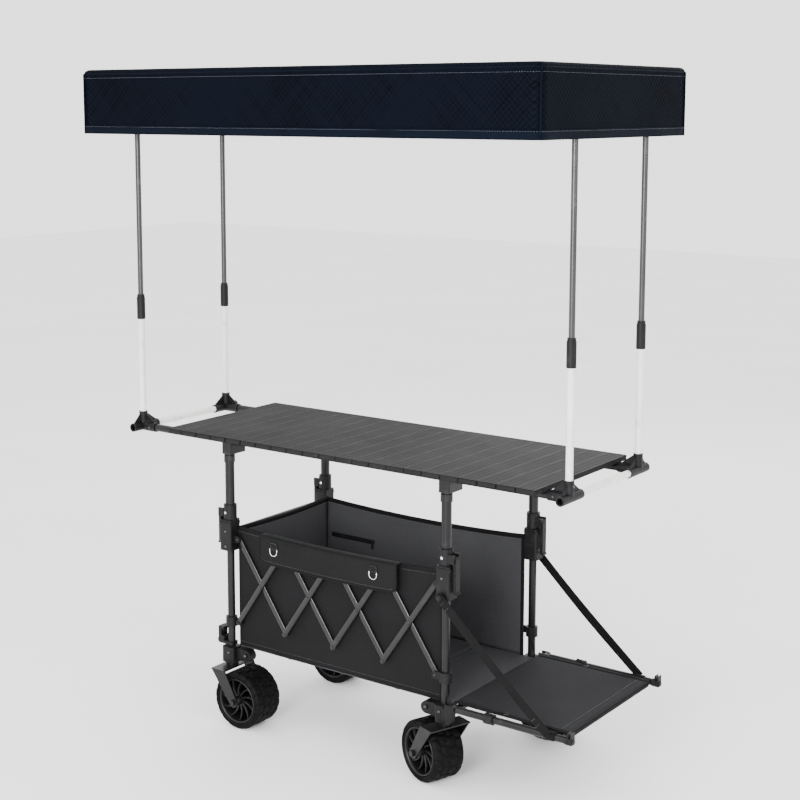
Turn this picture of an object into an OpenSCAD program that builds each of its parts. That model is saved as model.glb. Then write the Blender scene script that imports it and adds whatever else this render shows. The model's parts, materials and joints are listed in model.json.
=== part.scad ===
/* [Wagon] */
// Spacing of the corner posts along the cart
wagon_l = 750; // [620:10:900]
// Spacing of the corner posts across the cart
wagon_w = 440; // [360:10:540]
// Diameter of a corner post
post_d = 22; // [18:1:27]
// Height of the tub's cloth walls
wall_h = 353; // [330:5:430]
// Thickness of the tub's cloth walls
cloth_t = 3; // [2:0.5:4]
// Height of an upper bracket
bracket_h = 90; // [80:2:110]
// Height of the top pivots under the rim
pivot_drop = 36; // [28:1:44]
// Distance of the end pivots from the post's axis
pivot_off = 30; // [28:1:40]
// Pitch of the scissor crossings when folded
fold_pitch = 70; // [66:1:90]
// Width of a scissor bar
bar_w = 16; // [12:1:18]
// Thickness of a scissor bar
bar_t = 7; // [5:0.5:8]

/* [Castors] */
// Diameter of a wheel
wheel_d = 168; // [140:2:190]
// Width of a wheel
wheel_w = 102; // [70:2:104]
// Trail of a wheel behind its swivel pin
trail = 58; // [45:1:70]
// Resting angles of the near left, far left, near right and far right castors
castor_turn = [0, 0, 160, 12];

/* [Counter] */
// Height of the counter's top above the floor
table_z = 852; // [820:2:900]
// Number of slats
slats = 22; // [16:1:26]
// Distance from one slat to the next
slat_pitch = 56.5; // [48:0.5:62]
// Depth of the counter, which is a slat's length
table_d = 484; // [440:4:560]
// Thickness of a slat
slat_t = 14; // [12:1:18]
// Diameter of a rail under the slats
rail_d = 22; // [18:1:27]
// Diameter of a leg's outer tube
leg_d = 27; // [22:1:33]
// Travel of the counter's height adjustment
table_lift = 90; // [60:5:110]

/* [Canopy] */
// Spacing of the poles along the cart
pole_l = 1468; // [1300:4:1600]
// Spacing of the poles across the cart
pole_w = 370; // [300:5:400]
// Diameter of a pole's white lower tube
pole_d = 19; // [18:0.5:22]
// Diameter of a pole's upper tube
upper_d = 16; // [14:0.5:16.5]
// Height of the valance's hem above the floor
canopy_z = 1706; // [1660:2:1800]
// Depth of the valance
canopy_h = 180; // [150:2:220]
// Width of the canopy across the cart
canopy_w = 750; // [700:5:820]
// Shift of the canopy from the wagon's middle
canopy_shift = -20; // [-40:1:0]
// Travel of the canopy's height adjustment
canopy_drop = 240; // [160:5:250]

/* [Tailgate] */
// Length of the tailgate from its hinge
tail_l = 336; // [300:2:400]
// Diameter of the tailgate's side tubes
tail_d = 19; // [15:1:23]

/* [Hidden] */
$fn = 48;
gap = 0.3;
run = 0.05;
seat = 0.1;
slide = 0.2;
wall = 1.5;
steel = "#2c2c2e";
plastic = "#1d1d1f";
cloth = "#464648";
alu = "#66666a";
white = "#dcdcdc";
navy = "#101828";

// heights, from the floor up
wheel_r = wheel_d / 2;
plate_t = 4;
fork_top = wheel_d + 3;
race_h = 9;
cast_z = fork_top + race_h;
cast_h = 46;
cast_top = cast_z + cast_h;
floor_t = 6;
floor_z = cast_top + gap;
floor_top = floor_z + floor_t;
rim_z = floor_top + wall_h;
bracket_drop = 70;
bracket_z = rim_z - bracket_drop;
bracket_top = bracket_z + bracket_h;
sleeve_h = 44;
sleeve_wall = 5.5;
sleeve_top = bracket_top + sleeve_h;
post_sunk = 36;
bracket_seat = 40;
leg_sunk = 34;
leg_z = bracket_top - leg_sunk;
lever_x = leg_d / 2 + 14.5;

// places along and across the cart
px = wagon_l / 2;
py = wagon_w / 2;
post_r = post_d / 2;
leg_r = leg_d / 2;
inner_r = leg_r - 2;
block_in = post_r + 8;
block_out = 23;
block_y = 22;
cross_r = 9.5;
wall_x = px - block_in - 0.5;
wall_y = py - post_r - 1;

// scissor frames: the bars' length follows from the folded state
collar_h = 28;
collar_stop = 15;
collar_wall = 6;
hook_in = post_r + collar_wall + 3;
top_z = rim_z - pivot_drop;
low_fold_z = cast_top + collar_stop + collar_h / 2;
h_fold = top_z - low_fold_z;
bar_l = sqrt(h_fold * h_fold + fold_pitch * fold_pitch);
pitch = (wagon_l - 2 * pivot_off) / 4;
h_open = sqrt(bar_l * bar_l - pitch * pitch);
low_z = top_z - h_open;
bar_angle = atan2(h_open, pitch);
rivet_r = 3;
outer_y = py + bar_t / 2 + 0.5;
inner_y = py - bar_t / 2;
head_t = 1.4;

// castors
fork_w = wheel_w + 26;
hub_l = fork_w - 2 * plate_t - 1.4;
axle_r = 5;
swivel_r = 6;
swivel_h = 26;
nut_r = 9;
nut_h = 6.9;

// counter
table_under = table_z - slat_t;
rail_z = table_under - rail_d / 2;
rail_r = rail_d / 2;
leg_top = rail_z - rail_r - 24;
head_z = leg_top + 6;
inner_bottom = sleeve_top + 18;
table_x = 39;
table_y = -14;
table_l = slats * slat_pitch;
slat_w = slat_pitch - 2.5;
button_z = bracket_top + sleeve_h / 2;
button_r = 3.8;
button_travel = 5;

// canopy
ppx = pole_l / 2;
ppy = pole_w / 2;
pole_r = pole_d / 2;
upper_r = upper_d / 2;
socket_h = 45;
sleeve_z = rail_z + 326;
pole_sleeve_h = 74;
canopy_top = canopy_z + canopy_h;
cloth_skin = 2.4;
canopy_end = 16;
canopy_l = pole_l + 2 * canopy_end;
frame_r = 8;
frame_z = canopy_top - cloth_skin - gap - frame_r;
frame_y = canopy_w / 2 - cloth_skin - 1 - frame_r - 3;
upper_bottom = rail_z + canopy_drop + pole_r + 8;

// tailgate
tail_r = tail_d / 2;
tail_y = py + tail_r + 10;
hinge_r = 4;
hinge_x = px + 37;
hinge_z = cast_top + 2;
tail_end = hinge_x + tail_l;
clip_l = 22;
bar_x = tail_end - 11;
panel_x = hinge_x - 8;
floor_end = hinge_x - 12;
panel_z = hinge_z + frame_r;
strap_x = tail_end - 40;
strap_w = 25;
strap_y = tail_y + tail_r + 0.5;
strap_t = 1.6;
strap_top = bracket_z + 8;

module tube(r, bore, h) {
    difference() {
        cylinder(r = r, h = h);
        translate([0, 0, -1]) cylinder(r = bore, h = h + 2);
    }
}

module tube_x(r, bore, l) rotate([0, 90, 0]) tube(r, bore, l);

module tube_y(r, bore, l) rotate([-90, 0, 0]) tube(r, bore, l);

module rod_y(r, l) rotate([-90, 0, 0]) cylinder(r = r, h = l);

// a block with rounded upright edges, from x0 to x1 and y0 to y1
module block(x0, x1, y0, y1, h, r = 4) {
    linear_extrude(h) {
        translate([x0 + r, y0]) square([x1 - x0 - 2 * r, y1 - y0]);
        translate([x0, y0 + r]) square([x1 - x0, y1 - y0 - 2 * r]);
        for (x = [x0 + r, x1 - r], y = [y0 + r, y1 - r]) translate([x, y]) circle(r);
    }
}

// places a piece at one corner post, built for the far left corner
module at_corner(end, side) {
    translate([end * px, side * py, 0])
        mirror([end > 0 ? 1 : 0, 0, 0])
            mirror([0, side < 0 ? 1 : 0, 0]) children();
}

module both_sides(end) {
    at_corner(end, -1) children();
    at_corner(end, 1) children();
}

// corner pieces, built for the far left corner: +X is inward, +Y is outward

module post() {
    low = cast_top - post_sunk;
    translate([0, 0, low]) tube(post_r, post_r - wall, bracket_z + bracket_seat - low);
}

module bracket() {
    difference() {
        union() {
            translate([0, 0, bracket_z]) block(-block_out, block_in, -block_y, block_y, bracket_h, 6);
            translate([0, 0, bracket_top - 14])
                block(-block_out - 3, block_in, -block_y - 2, block_y + 2, 8, 6);
            translate([0, 0, bracket_top]) cylinder(r = leg_r + sleeve_wall, h = sleeve_h);
            for (y = [-15, 10])
                translate([-leg_r - 20, y, button_z - 14]) cube([20, 5, 24]);
            children();
        }
        translate([0, 0, bracket_z - 1]) cylinder(r = post_r + seat, h = bracket_seat + 1.2);
        translate([0, 0, leg_z - 0.2]) cylinder(r = leg_r + seat, h = bracket_h + sleeve_h);
        translate([-leg_r - 21, -1.5, bracket_top + 3]) cube([20, 3, sleeve_h]);
        translate([-lever_x, -20, button_z - 2]) rod_y(rivet_r + run, 40);
        translate([0, 0, button_z]) rotate([90, 0, 0]) cylinder(r = 4, h = 60, center = true);
    }
}

// lug in one of the two layers of bars, with its pivot at the end
module lug(y, z, r = 10, t = bar_t) {
    translate([0, y - t / 2, z]) {
        translate([pivot_off, 0, 0]) rod_y(r, t);
        translate([post_r, 0, -r]) cube([pivot_off - post_r, t, 2 * r]);
    }
}

module pivot_hole(y, z) translate([pivot_off, y - bar_t, z]) rod_y(rivet_r + seat, 2 * bar_t);

// pin with a flat head outside the outer layer of bars
module rivet(from_y) {
    translate([0, from_y, 0]) rod_y(rivet_r, outer_y + bar_t / 2 - from_y + 0.2);
    translate([0, outer_y + bar_t / 2 + 0.15, 0]) rod_y(6, head_t);
}

module casting() {
    difference() {
        union() {
            translate([0, 0, cast_z]) block(-22, 22, -20, 22, cast_h, 8);
            translate([0, 0, cast_z]) cylinder(r = 20, h = 12);
            translate([14, -20, cast_z + 8]) cube([44, 26, cast_h - 12]);
            translate([58, -20, cast_z + 8 + (cast_h - 12) / 2]) rod_y((cast_h - 12) / 2, 26);
            translate([58, 5, cast_z + 8 + (cast_h - 12) / 2]) rod_y(6, 4);
            children();
        }
        translate([0, 0, cast_top - post_sunk - 0.2]) cylinder(r = post_r + seat, h = post_sunk + 4);
        translate([0, 0, cast_z - 1]) cylinder(r = swivel_r + run, h = swivel_h - race_h + 1);
    }
}

// cheeks that hold the tailgate's hinge pin, outward of the right castings
module hinge_cheeks() {
    arm = hinge_x - px;
    translate([-arm, tail_y - py, hinge_z]) {
        for (y = [-12.2, 8.2]) {
            translate([0, y, 0]) rod_y(10, 4);
            translate([0, y, -10]) cube([arm - 18, 4, 20]);
        }
        translate([0, -12.2, 0]) rod_y(hinge_r, 24.4);
    }
    translate([-22, 6, cast_z + 16]) cube([12, tail_y - py + 6.2, cast_h - 16]);
}

module leg() {
    translate([0, 0, leg_z]) tube(leg_r, inner_r + slide, leg_top - leg_z);
}

module leg_with_collar() {
    difference() {
        union() {
            leg();
            translate([0, 0, leg_top - 18]) tube(leg_r + 2.5, leg_r - 0.5, 20);
        }
        translate([0, 0, button_z]) rotate([90, 0, 0]) cylinder(r = 4, h = 60, center = true);
    }
}

module inner_leg() {
    reach = py - ppy;
    translate([0, 0, inner_bottom]) tube(inner_r, inner_r - wall, head_z + 4 - inner_bottom);
    difference() {
        translate([0, 0, head_z]) block(-17, 17, -reach - rail_r - 6, 15, table_under - gap - head_z, 5);
        translate([-20, -reach, rail_z]) rotate([0, 90, 0]) cylinder(r = rail_r + gap, h = 40);
        translate([-20, -reach - rail_r - gap, rail_z]) cube([40, rail_d + 2 * gap, 40]);
        translate([0, 0, head_z - 1]) cylinder(r = inner_r - wall, h = 5);
    }
}

module lever() {
    translate([-lever_x, 0, button_z - 2]) {
        rotate([90, 0, 0]) cylinder(r = rivet_r, h = 30, center = true);
        rotate([90, 0, 0]) cylinder(r = 8, h = 19, center = true);
        difference() {
            translate([-9, -9.5, -92]) cube([9, 19, 92]);
            translate([-5.5, -6, -84]) cube([8, 12, 66]);
        }
        translate([-9, -9.5, -92]) rotate([-90, 0, 0]) cylinder(r = 3, h = 19);
    }
}

// snap button standing out of the sleeve toward the near side
module button() {
    translate([0, -leg_r - sleeve_wall - 3, button_z]) rod_y(button_r, 14);
    translate([0, -leg_r + 5.5 - 0.1, button_z]) rod_y(button_r + 1.8, 2);
}

module clip() {
    translate([0, 0, cast_top + 5]) difference() {
        union() {
            block(-34, 12, -14, 14, collar_stop - 7, 4);
            block(-34, -hook_in, -14, 14, 22, 4);
            translate([-34, -14, 9]) rod_y(9, 28);
            translate([-40, -14, 16]) cube([10, 28, 34]);
            translate([-40, -14, 42]) cube([40 - hook_in, 28, 8]);
        }
        translate([0, 0, -1]) cylinder(r = post_r + seat, h = 60);
    }
}

// castor, with its swivel pin on the Z axis and its wheel toward +X

module fork_arm() {
    rotate([90, 0, 0]) linear_extrude(plate_t, center = true) difference() {
        union() {
            polygon([[-25, fork_top], [25, fork_top], [trail + 14, wheel_r + 4], [trail - 13, wheel_r - 7]]);
            translate([trail, wheel_r]) circle(15);
        }
        translate([trail, wheel_r]) circle(axle_r + seat);
    }
}

module fork() {
    color(steel) {
        translate([-25, -fork_w / 2, fork_top - plate_t]) cube([50, fork_w, plate_t]);
        for (y = [-1, 1]) translate([0, y * (fork_w - plate_t) / 2, 0]) fork_arm();
        translate([0, 0, fork_top]) cylinder(r = 18, h = race_h - gap);
        translate([0, 0, fork_top]) cylinder(r = swivel_r, h = swivel_h - 1);
        translate([trail, -fork_w / 2 - 4, wheel_r]) {
            rod_y(axle_r, fork_w + 8);
            translate([0, 4 - nut_h - 0.1, 0]) rotate([-90, 0, 0]) cylinder(r = nut_r, h = nut_h, $fn = 6);
            translate([0, fork_w + 4.1, 0]) rotate([-90, 0, 0]) cylinder(r = nut_r, h = nut_h, $fn = 6);
        }
    }
}

module rim() {
    ring = wheel_r - 18;
    spokes = 12;
    color(plastic) translate([trail, 0, wheel_r]) rotate([90, 0, 0]) {
        difference() {
            union() {
                tube(13, axle_r + run, hub_l / 2);
                mirror([0, 0, 1]) tube(13, axle_r + run, hub_l / 2);
                translate([0, 0, -wheel_w / 2 + 5]) tube(ring, ring - 5, wheel_w - 10);
                translate([0, 0, -3]) tube(ring - 2, 10, 6);
                for (i = [0 : spokes - 1]) rotate([0, 0, i * 360 / spokes])
                    translate([9, 4, -wheel_w / 2 + 12]) cube([ring - 12, 3, wheel_w - 24]);
            }
            cylinder(r = axle_r + run, h = hub_l, center = true);
        }
    }
}

module tyre() {
    ring = wheel_r - 18;
    half = wheel_w / 2;
    notches = 18;
    color("#1a1a1c") translate([trail, 0, wheel_r]) rotate([90, 0, 0]) difference() {
        rotate_extrude($fn = 96) {
            translate([ring, -half + 5]) square([wheel_r - 10 - ring, wheel_w - 10]);
            translate([ring, -half + 12]) square([wheel_r - ring, wheel_w - 24]);
            for (y = [-half + 12, half - 12]) translate([wheel_r - 12, y]) circle(12);
        }
        translate([0, 0, -half - 2]) cylinder(r = ring, h = wheel_w + 4);
        for (s = [0, 1], i = [0 : notches - 1])
            rotate([0, 0, (i + s / 2 + 0.25) * 360 / notches])
                translate([wheel_r - 5, -3, s ? 14 : -half - 1]) cube([8, 6, half - 13]);
    }
}

module castor_at(i) {
    end = i < 2 ? -1 : 1;
    side = i % 2 == 0 ? -1 : 1;
    translate([end * px, side * py, 0]) rotate([0, 0, castor_turn[i]]) children();
}

// scissor bars, built on the far side and mirrored to the near side

// pivots are counted from the left: top and bottom 0 to 4
function top_x(i) = -px + pivot_off + i * pitch;

module bar(x0, z0, x1, z1, y, holes) {
    difference() {
        translate([x0, y - bar_t / 2, z0])
            rotate([0, -atan2(z1 - z0, x1 - x0), 0]) {
                rod_y(bar_w / 2, bar_t);
                translate([0, 0, -bar_w / 2]) cube([bar_l, bar_t, bar_w]);
                translate([bar_l, 0, 0]) rod_y(bar_w / 2, bar_t);
            }
        for (h = holes) translate([h[0], y - bar_t, h[1]]) rod_y(rivet_r + seat, 2 * bar_t);
    }
}

// a bar of the inner layer, which falls to the right and carries the rivets it is named with
module bar_down(i) {
    t = [top_x(i - 1), top_z];
    b = [top_x(i), low_z];
    c = (t + b) / 2;
    top_pin = i == 3 ? [] : [t];
    low_pin = i == 2 ? [] : [b];
    color(steel) for (m = [0, 1]) mirror([0, m, 0]) {
        bar(t[0], t[1], b[0], b[1], inner_y, []);
        for (p = concat(top_pin, [c], low_pin)) translate([p[0], 0, p[1]]) rivet(inner_y);
    }
}

// a bar of the outer layer, which rises to the right and turns on the rivets of the inner bars
module bar_up(i) {
    b = [top_x(i - 1), low_z];
    t = [top_x(i), top_z];
    c = (t + b) / 2;
    top_hole = i == 2 ? [] : [t];
    low_hole = i == 3 ? [] : [b];
    loose = i == 2 ? [t] : i == 3 ? [b] : [];
    color(steel) for (m = [0, 1]) mirror([0, m, 0]) {
        bar(b[0], b[1], t[0], t[1], outer_y, concat(top_hole, [c], low_hole));
        for (p = loose) translate([p[0], outer_y + bar_t / 2 - 0.1, p[1]]) rod_y(6, head_t + 0.2);
    }
}

module collar() {
    difference() {
        union() {
            translate([0, 0, low_z - collar_h / 2]) cylinder(r = post_r + collar_wall, h = collar_h);
            children();
        }
        translate([0, 0, low_z - collar_h]) cylinder(r = post_r + gap, h = 2 * collar_h);
    }
}

// nodes of the wagon's two end frames

module left_posts() color(steel) both_sides(-1) post();

module right_posts() color(steel) both_sides(1) post();

module left_brackets() color(plastic) both_sides(-1) difference() {
    bracket() lug(outer_y - py, top_z, 10, bar_t - 0.6);
    pivot_hole(outer_y - py, top_z);
}

module right_brackets() color(plastic) both_sides(1) {
    bracket() {
        lug(inner_y - py, top_z, 10, bar_t - 0.6);
        translate([0, block_y - 2, strap_top]) rod_y(4, strap_y - py - block_y + 8);
        translate([0, strap_y - py + 4, strap_top]) rod_y(8, 2);
    }
    translate([pivot_off, -py, top_z]) rivet(inner_y + bar_t / 2 - 1);
}

module left_castings() color(plastic) both_sides(-1) casting();

module right_castings() color(plastic) both_sides(1) casting() hinge_cheeks();

// tube between the two sides, ending that far inside each post's axis
module cross_tube(inset) translate([0, -py + inset, 0]) tube_y(cross_r, cross_r - wall, wagon_w - 2 * inset);

module left_cross_tubes() color(steel) {
    translate([-px, 0, cast_z + 14]) cross_tube(20);
    translate([-px, 0, bracket_z + 50]) cross_tube(block_y);
}

module right_cross_tube() color(steel)
    translate([px, 0, cast_z + 14]) cross_tube(20);

module left_legs() color(steel) both_sides(-1) leg_with_collar();

module right_legs() color(steel) both_sides(1) leg_with_collar();

module left_clips() color(plastic) both_sides(-1) clip();

module left_inner_legs() color(steel) both_sides(-1) inner_leg();

module right_inner_legs() color(steel) both_sides(1) inner_leg();

module buttons(end) color(alu)
    for (side = [-1, 1]) translate([end * px, side * py, 0]) button();

module left_collars() color(plastic) both_sides(-1) {
    collar() lug(inner_y - py, low_z, 10, bar_t - 0.6);
    translate([pivot_off, -py, low_z]) rivet(inner_y + bar_t / 2 - 1);
}

module right_collars() color(plastic) both_sides(1) difference() {
    collar() lug(outer_y - py, low_z, 10, bar_t - 0.6);
    pivot_hole(outer_y - py, low_z);
}

// cloth of the tub

module near_wall() color(cloth)
    translate([-wall_x, -wall_y, floor_top + gap]) cube([2 * wall_x, cloth_t, wall_h - gap]);

module far_wall() color(cloth)
    translate([-wall_x, wall_y - cloth_t, floor_top + gap]) cube([2 * wall_x, cloth_t, wall_h - gap]);

module left_wall() color(cloth)
    translate([-wall_x, -wall_y + cloth_t + gap, floor_top + gap])
        cube([cloth_t, 2 * (wall_y - cloth_t - gap), wall_h - gap]);

module tub_floor() color(cloth)
    translate([-wall_x, -wall_y + 0.5, floor_z])
        cube([wall_x + floor_end, 2 * wall_y - 1, floor_t]);

module near_flap() {
    flap_y = outer_y + bar_t / 2 + 3;
    x0 = -252;
    x1 = 224;
    drop = 78;
    color(cloth) {
        translate([x0, -flap_y - 2, rim_z - drop]) cube([x1 - x0, 2, drop + 1]);
        translate([x0, -flap_y - 2, rim_z + gap]) cube([x1 - x0, flap_y + 2 - wall_y + cloth_t, 2]);
    }
    color(white) for (x = [-206, 149])
        translate([x, -flap_y - 5, rim_z - drop + 14]) rotate([90, 0, 0]) tube(11, 8.5, 2.5);
    color(cloth) for (x = [-206, 149])
        translate([x - 8, -flap_y - 4.8, rim_z - drop + 21]) cube([16, 2.8, 16]);
}

// counter

module slat(i) {
    x0 = table_x - table_l / 2 + i * slat_pitch;
    translate([x0, table_y + table_d / 2, table_under]) rotate([90, 0, 0]) difference() {
        linear_extrude(table_d) {
            translate([1, 0]) square([slat_w - 2, slat_t]);
            translate([0, 1]) square([slat_w, slat_t - 2]);
            for (x = [1, slat_w - 1], z = [1, slat_t - 1]) translate([x, z]) circle(1);
        }
        for (z = cord_places) translate([-1, slat_t / 2, table_d / 2 + z])
            rotate([0, 90, 0]) cylinder(r = 2.7, h = slat_w + 2);
    }
}

cord_places = [-table_d / 2 + 40, table_d / 2 - 40];

module table_slats() color(alu) for (i = [0 : slats - 1]) slat(i);

module table_cords() color("#202020") for (z = cord_places)
    translate([table_x - table_l / 2 + 1, table_y - z, table_under + slat_t / 2])
        rotate([0, 90, 0]) cylinder(r = 2.5, h = table_l - slat_pitch + slat_w - 2);

module table_rails() color(steel) for (side = [-1, 1])
    translate([canopy_shift - ppx + pole_r + 7, side * ppy, rail_z])
        tube_x(rail_r, rail_r - wall, pole_l - 2 * pole_r - 14);

module end_tubes() color(white) for (end = [-1, 1])
    translate([canopy_shift + end * ppx, -ppy + pole_r + 7, rail_z])
        tube_y(pole_r, pole_r - wall, pole_w - 2 * pole_r - 14);

// three-way fitting: along the rail, across the end and up the pole, built for the left far end
module fitting() {
    barrel = pole_r + 3.2;
    rail_barrel = rail_r + 3;
    difference() {
        union() {
            translate([0, -57, 0]) rod_y(barrel, 102);
            rotate([0, 90, 0]) cylinder(r = rail_barrel, h = 56);
            cylinder(r = barrel, h = socket_h);
            translate([0, -2, 0]) rotate([90, 0, 0]) translate([0, 0, -4]) linear_extrude(4)
                polygon([[0, 0], [50, 0], [50, 12], [12, socket_h - 5], [0, socket_h - 5]]);
            translate([-2, 0, 0]) rotate([90, 0, 90]) linear_extrude(4)
                polygon([[-52, 0], [40, 0], [40, 11], [11, socket_h - 5], [-11, socket_h - 5], [-52, 12]]);
        }
        translate([0, -58, 0]) rod_y(pole_r + seat, 58 - pole_r - 7);
        translate([0, 22, 0]) rod_y(pole_r - 1, 30);
        translate([pole_r + 7, 0, 0]) rotate([0, 90, 0]) cylinder(r = rail_r + seat, h = 60);
        translate([0, 0, pole_r + 6]) cylinder(r = pole_r + seat, h = 60);
    }
}

// places a child at each of the four poles, built for the far left one
module at_poles() {
    for (end = [-1, 1], side = [-1, 1])
        translate([canopy_shift + end * ppx, side * ppy, 0])
            mirror([end > 0 ? 1 : 0, 0, 0]) mirror([0, side < 0 ? 1 : 0, 0]) children();
}

module corner_fittings() color(plastic) at_poles() translate([0, 0, rail_z]) fitting();

module lower_poles() color(white) at_poles()
    translate([0, 0, rail_z + pole_r + 6]) tube(pole_r, upper_r + slide, sleeve_z - rail_z - pole_r + 14);

module pole_sleeves() color(plastic) at_poles() translate([0, 0, sleeve_z]) difference() {
    union() {
        cylinder(r = pole_r + 3, h = pole_sleeve_h - 8);
        cylinder(r = pole_r + 1.5, h = pole_sleeve_h);
    }
    translate([0, 0, -1]) cylinder(r = pole_r + seat, h = 21.1);
    translate([0, 0, -1]) cylinder(r = upper_r + slide, h = pole_sleeve_h + 2);
}

// canopy

module upper_poles() color(alu) at_poles()
    translate([0, 0, upper_bottom]) tube(upper_r, upper_r - wall, frame_z - frame_r - upper_bottom);

module canopy_frame() {
    inner = 2 * (frame_y - frame_r);
    color(steel) for (s = [-1, 1]) {
        translate([canopy_shift + s * ppx, -inner / 2, frame_z]) tube_y(frame_r, frame_r - wall, inner);
        translate([canopy_shift - ppx - frame_r, s * frame_y, frame_z])
            tube_x(frame_r, frame_r - wall, pole_l + 2 * frame_r);
    }
    color(plastic) at_poles() difference() {
        union() {
            translate([0, 0, frame_z - frame_r - 26]) cylinder(r = upper_r + 3, h = 26);
            translate([0, -14, frame_z - 5]) rod_y(frame_r + 3, 28);
        }
        translate([0, 0, frame_z - frame_r - 40]) cylinder(r = upper_r + seat, h = 40.1);
        translate([0, -30, frame_z]) rod_y(frame_r + seat, 60);
        translate([-40, -40, frame_z + 4]) cube([80, 80, 40]);
        translate([-40, -40, frame_z - frame_r + 0.2]) cube([40 - frame_r - 2.5, 80, 40]);
    }
}

module canopy_cloth() color(navy) difference() {
    translate([canopy_shift - canopy_l / 2, -canopy_w / 2, canopy_z]) cube([canopy_l, canopy_w, canopy_h]);
    translate([canopy_shift - canopy_l / 2 + cloth_skin, -canopy_w / 2 + cloth_skin, canopy_z - 1])
        cube([canopy_l - 2 * cloth_skin, canopy_w - 2 * cloth_skin, canopy_h - cloth_skin + 1]);
}

// tailgate

module tail_tubes() color(steel) {
    for (s = [-1, 1]) translate([hinge_x, s * tail_y, hinge_z]) difference() {
        union() {
            translate([14, 0, 0]) tube_x(tail_r, tail_r - wall, tail_l - 14);
            translate([0, -7.9, 0]) rod_y(9, 15.8);
            translate([0, -7.9, -6]) cube([16, 15.8, 12]);
        }
        translate([0, -10, 0]) rod_y(hinge_r + run, 20);
    }
    end_y = tail_y - tail_r + 1;
    translate([bar_x, -end_y, hinge_z]) tube_y(frame_r, frame_r - wall, 2 * end_y);
}

module tail_fittings() color(plastic) for (s = [-1, 1]) translate([hinge_x, s * tail_y, hinge_z]) {
    translate([100, 0, 0]) tube_x(tail_r + 4.5, tail_r + seat, 26);
    translate([tail_l, 0, 0]) difference() {
        union() {
            rotate([0, 90, 0]) cylinder(r = tail_r + 1.5, h = 8);
            translate([8, -9, -8]) cube([12, 18, 16]);
            for (x = [8, 17]) translate([x, -9, 0]) cube([3, 18, clip_l]);
            translate([20, 0, -1]) rotate([0, 90, 0]) cylinder(r = 7, h = clip_l - 20);
        }
        translate([11, -10, 10]) cube([6, 20, 20]);
    }
}

module tail_panel() color(cloth)
    translate([panel_x, -py, panel_z + 0.1]) cube([bar_x + 10 - panel_x, wagon_w, cloth_t]);

module straps() color("#151517") for (m = [0, 1]) mirror([0, m, 0]) {
    dx = strap_x - px;
    dz = strap_top - hinge_z;
    len = sqrt(dx * dx + dz * dz);
    difference() {
        translate([px, strap_y, strap_top]) rotate([0, atan2(dz, dx), 0]) {
            translate([0, 0, -strap_w / 2]) cube([len, strap_t, strap_w]);
            rod_y(strap_w / 2, strap_t);
        }
        translate([px, strap_y - 1, strap_top]) rod_y(4.2, 6);
    }
    translate([strap_x - strap_w / 2, tail_y, hinge_z]) tube_x(tail_r + 2.2, tail_r + gap, strap_w);
}

left_posts();
left_brackets();
left_castings();
left_cross_tubes();
left_legs();
left_clips();
right_posts();
right_brackets();
right_castings();
right_cross_tube();
right_legs();
castor_at(0) fork();  // fork_nl
castor_at(1) fork();  // fork_fl
castor_at(2) fork();  // fork_nr
castor_at(3) fork();  // fork_fr
castor_at(0) rim();  // rim_nl
castor_at(1) rim();  // rim_fl
castor_at(2) rim();  // rim_nr
castor_at(3) rim();  // rim_fr
castor_at(0) tyre();  // tyre_nl
castor_at(1) tyre();  // tyre_fl
castor_at(2) tyre();  // tyre_nr
castor_at(3) tyre();  // tyre_fr
color(plastic) at_corner(-1, -1) lever();  // lever_nl
color(plastic) at_corner(-1, 1) lever();  // lever_fl
color(plastic) at_corner(1, -1) lever();  // lever_nr
color(plastic) at_corner(1, 1) lever();  // lever_fr
buttons(-1);  // left_buttons
buttons(1);  // right_buttons
left_inner_legs();
right_inner_legs();
table_slats();
table_cords();
table_rails();
end_tubes();
corner_fittings();
lower_poles();
pole_sleeves();
upper_poles();
canopy_frame();
canopy_cloth();
bar_down(1);  // bar_1_down
bar_up(1);  // bar_1_up
bar_down(2);  // bar_2_down
bar_up(2);  // bar_2_up
bar_down(3);  // bar_3_down
bar_up(3);  // bar_3_up
bar_down(4);  // bar_4_down
bar_up(4);  // bar_4_up
left_collars();
right_collars();
near_wall();
far_wall();
left_wall();
tub_floor();
near_flap();
tail_tubes();
tail_fittings();
tail_panel();
straps();
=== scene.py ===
import json
import math

import bpy
from mathutils import Matrix, Vector, noise


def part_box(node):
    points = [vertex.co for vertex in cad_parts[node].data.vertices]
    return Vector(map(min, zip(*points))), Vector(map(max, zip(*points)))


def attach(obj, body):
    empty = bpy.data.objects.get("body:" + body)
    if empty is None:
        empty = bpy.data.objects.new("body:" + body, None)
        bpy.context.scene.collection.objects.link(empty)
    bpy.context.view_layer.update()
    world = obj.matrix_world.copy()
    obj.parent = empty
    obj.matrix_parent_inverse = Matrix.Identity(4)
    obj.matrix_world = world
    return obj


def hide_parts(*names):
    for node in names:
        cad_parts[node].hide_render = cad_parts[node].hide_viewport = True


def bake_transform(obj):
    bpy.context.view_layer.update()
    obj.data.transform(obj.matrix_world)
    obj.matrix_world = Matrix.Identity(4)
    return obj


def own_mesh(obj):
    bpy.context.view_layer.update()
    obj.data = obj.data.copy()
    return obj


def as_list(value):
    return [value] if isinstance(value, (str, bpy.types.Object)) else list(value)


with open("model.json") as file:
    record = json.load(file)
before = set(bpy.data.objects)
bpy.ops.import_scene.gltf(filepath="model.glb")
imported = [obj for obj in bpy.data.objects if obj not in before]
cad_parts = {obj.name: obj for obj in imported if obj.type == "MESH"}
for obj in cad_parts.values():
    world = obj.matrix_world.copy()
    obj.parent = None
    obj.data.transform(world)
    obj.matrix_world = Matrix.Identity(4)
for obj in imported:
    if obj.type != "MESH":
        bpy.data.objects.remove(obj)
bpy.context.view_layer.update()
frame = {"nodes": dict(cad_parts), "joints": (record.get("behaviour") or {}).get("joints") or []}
nodes = frame["nodes"]
joints = {joint["name"]: joint for joint in frame["joints"]}
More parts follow.
